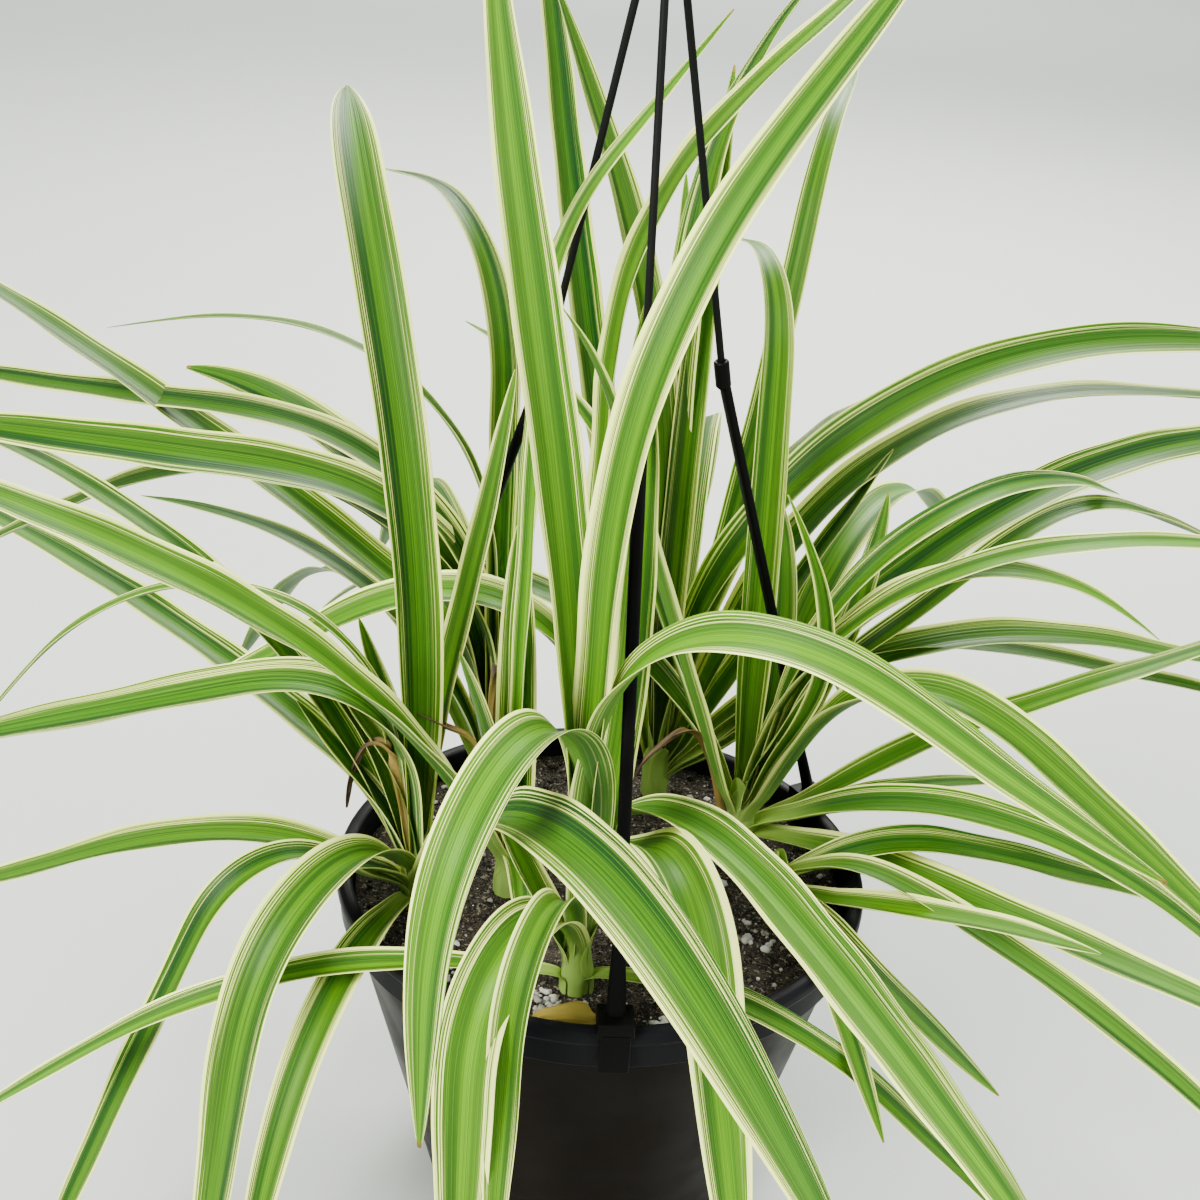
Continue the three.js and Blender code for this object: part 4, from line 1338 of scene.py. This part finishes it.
class PLANT_OT_stage(bpy.types.Operator):
    """Sets the floor, the soft lights and the camera"""

    bl_idname = "spider_plant.stage"
    bl_label = "Stage"

    def execute(self, context):
        settings = context.scene.plant_stage
        built = bmesh.new()
        bmesh.ops.create_circle(built, cap_ends=True, segments=96, radius=FLOOR_RADIUS)
        mesh = bpy.data.meshes.new("floor")
        built.to_mesh(mesh)
        built.free()
        floor = bpy.data.objects.new("floor", mesh)
        context.scene.collection.objects.link(floor)
        kit = NodeKit("floor_paint")
        cloud = kit.grain(kit.place(), 3.0, 2.0)
        tone = tuple(settings.floor)
        kit.set(Base_Color=kit.mix(cloud, tone, tuple(0.97 * c for c in tone)), Roughness=0.8)
        mesh.materials.append(kit.material)
        world = bpy.data.worlds.new("soft_sky")
        context.scene.world = world
        world.use_nodes = True
        sky = world.node_tree.nodes["Background"]
        sky.inputs["Color"].default_value = SKY_COLOUR
        sky.inputs["Strength"].default_value = SKY_STRENGTH
        powers = {"key": settings.key, "fill": settings.fill}
        for name, (spot, size, power, share, colour, target) in SOFTBOXES.items():
            self.softbox(name, spot, size, powers[power] * share, colour, target)
        self.camera(context)
        return {"FINISHED"}

    def softbox(self, name, spot, size, power, colour, target):
        """A round soft light at a spot, aimed at its target."""
        light = bpy.data.lights.new(name, "AREA")
        light.shape = "DISK"
        light.size = size
        light.energy = power
        light.color = colour
        lamp = bpy.data.objects.new(name, light)
        lamp.location = spot
        aim = Vector(target) - Vector(spot)
        lamp.rotation_euler = aim.to_track_quat("-Z", "Y").to_euler()
        bpy.context.scene.collection.objects.link(lamp)

    def camera(self, context):
        """The camera at the photo's own place and angle."""
        yaw, pitch, roll = (math.radians(a) for a in CAMERA_TURN)
        ahead = Vector((math.sin(yaw) * math.cos(pitch), math.cos(yaw) * math.cos(pitch),
                        -math.sin(pitch)))
        right = Vector((math.cos(yaw), -math.sin(yaw), 0))
        up = right.cross(ahead)
        right, up = (right * math.cos(roll) + up * math.sin(roll),
                     up * math.cos(roll) - right * math.sin(roll))
        lens = bpy.data.cameras.new("photo_camera")
        lens.sensor_fit = "HORIZONTAL"
        lens.sensor_width = SENSOR_WIDTH
        lens.lens = SENSOR_WIDTH * FOCAL_PIXELS / PHOTO_PIXELS
        lens.clip_start = 0.01
        viewer = bpy.data.objects.new("photo_camera", lens)
        turned = Matrix((right, up, -ahead)).transposed().to_4x4()
        viewer.matrix_world = Matrix.Translation(CAMERA_PLACE) @ turned
        context.scene.collection.objects.link(viewer)
        context.scene.camera = viewer


class PLANT_PT_sidebar(bpy.types.Panel):
    """Sizes, colours and buttons for the plant"""

    bl_idname = "PLANT_PT_sidebar"
    bl_label = "Potted spider plant"
    bl_space_type = "VIEW_3D"
    bl_region_type = "UI"
    bl_category = "Plant"

    def draw(self, context):
        for place, (settings, operator) in PIECES.items():
            box = self.layout.box()
            for name in settings.__annotations__:
                box.prop(getattr(context.scene, place), name)
            box.operator(operator.bl_idname)


# Where the scene keeps each piece's settings, with their class and the piece's operator
PIECES = {
    "plant_pot": (PotSettings, PLANT_OT_pot),
    "plant_soil": (SoilSettings, PLANT_OT_soil),
    "plant_hanger": (HangerSettings, PLANT_OT_hanger),
    "plant_leaves": (LeafSettings, PLANT_OT_leaves),
    "plant_stage": (StageSettings, PLANT_OT_stage),
}


def register():
    """Adds the settings, the operators and the sidebar panel."""
    for place, (settings, operator) in PIECES.items():
        bpy.utils.register_class(settings)
        setattr(bpy.types.Scene, place, PointerProperty(type=settings))
        bpy.utils.register_class(operator)
    bpy.utils.register_class(PLANT_PT_sidebar)


def unregister():
    """Takes them away again."""
    bpy.utils.unregister_class(PLANT_PT_sidebar)
    for place, (settings, operator) in PIECES.items():
        bpy.utils.unregister_class(operator)
        delattr(bpy.types.Scene, place)
        bpy.utils.unregister_class(settings)


def main():
    """Builds every piece."""
    register()
    bpy.ops.spider_plant.pot()
    bpy.ops.spider_plant.soil()
    bpy.ops.spider_plant.hanger()
    bpy.ops.spider_plant.leaves()
    bpy.ops.spider_plant.stage()


if __name__ == "__main__":
    main()
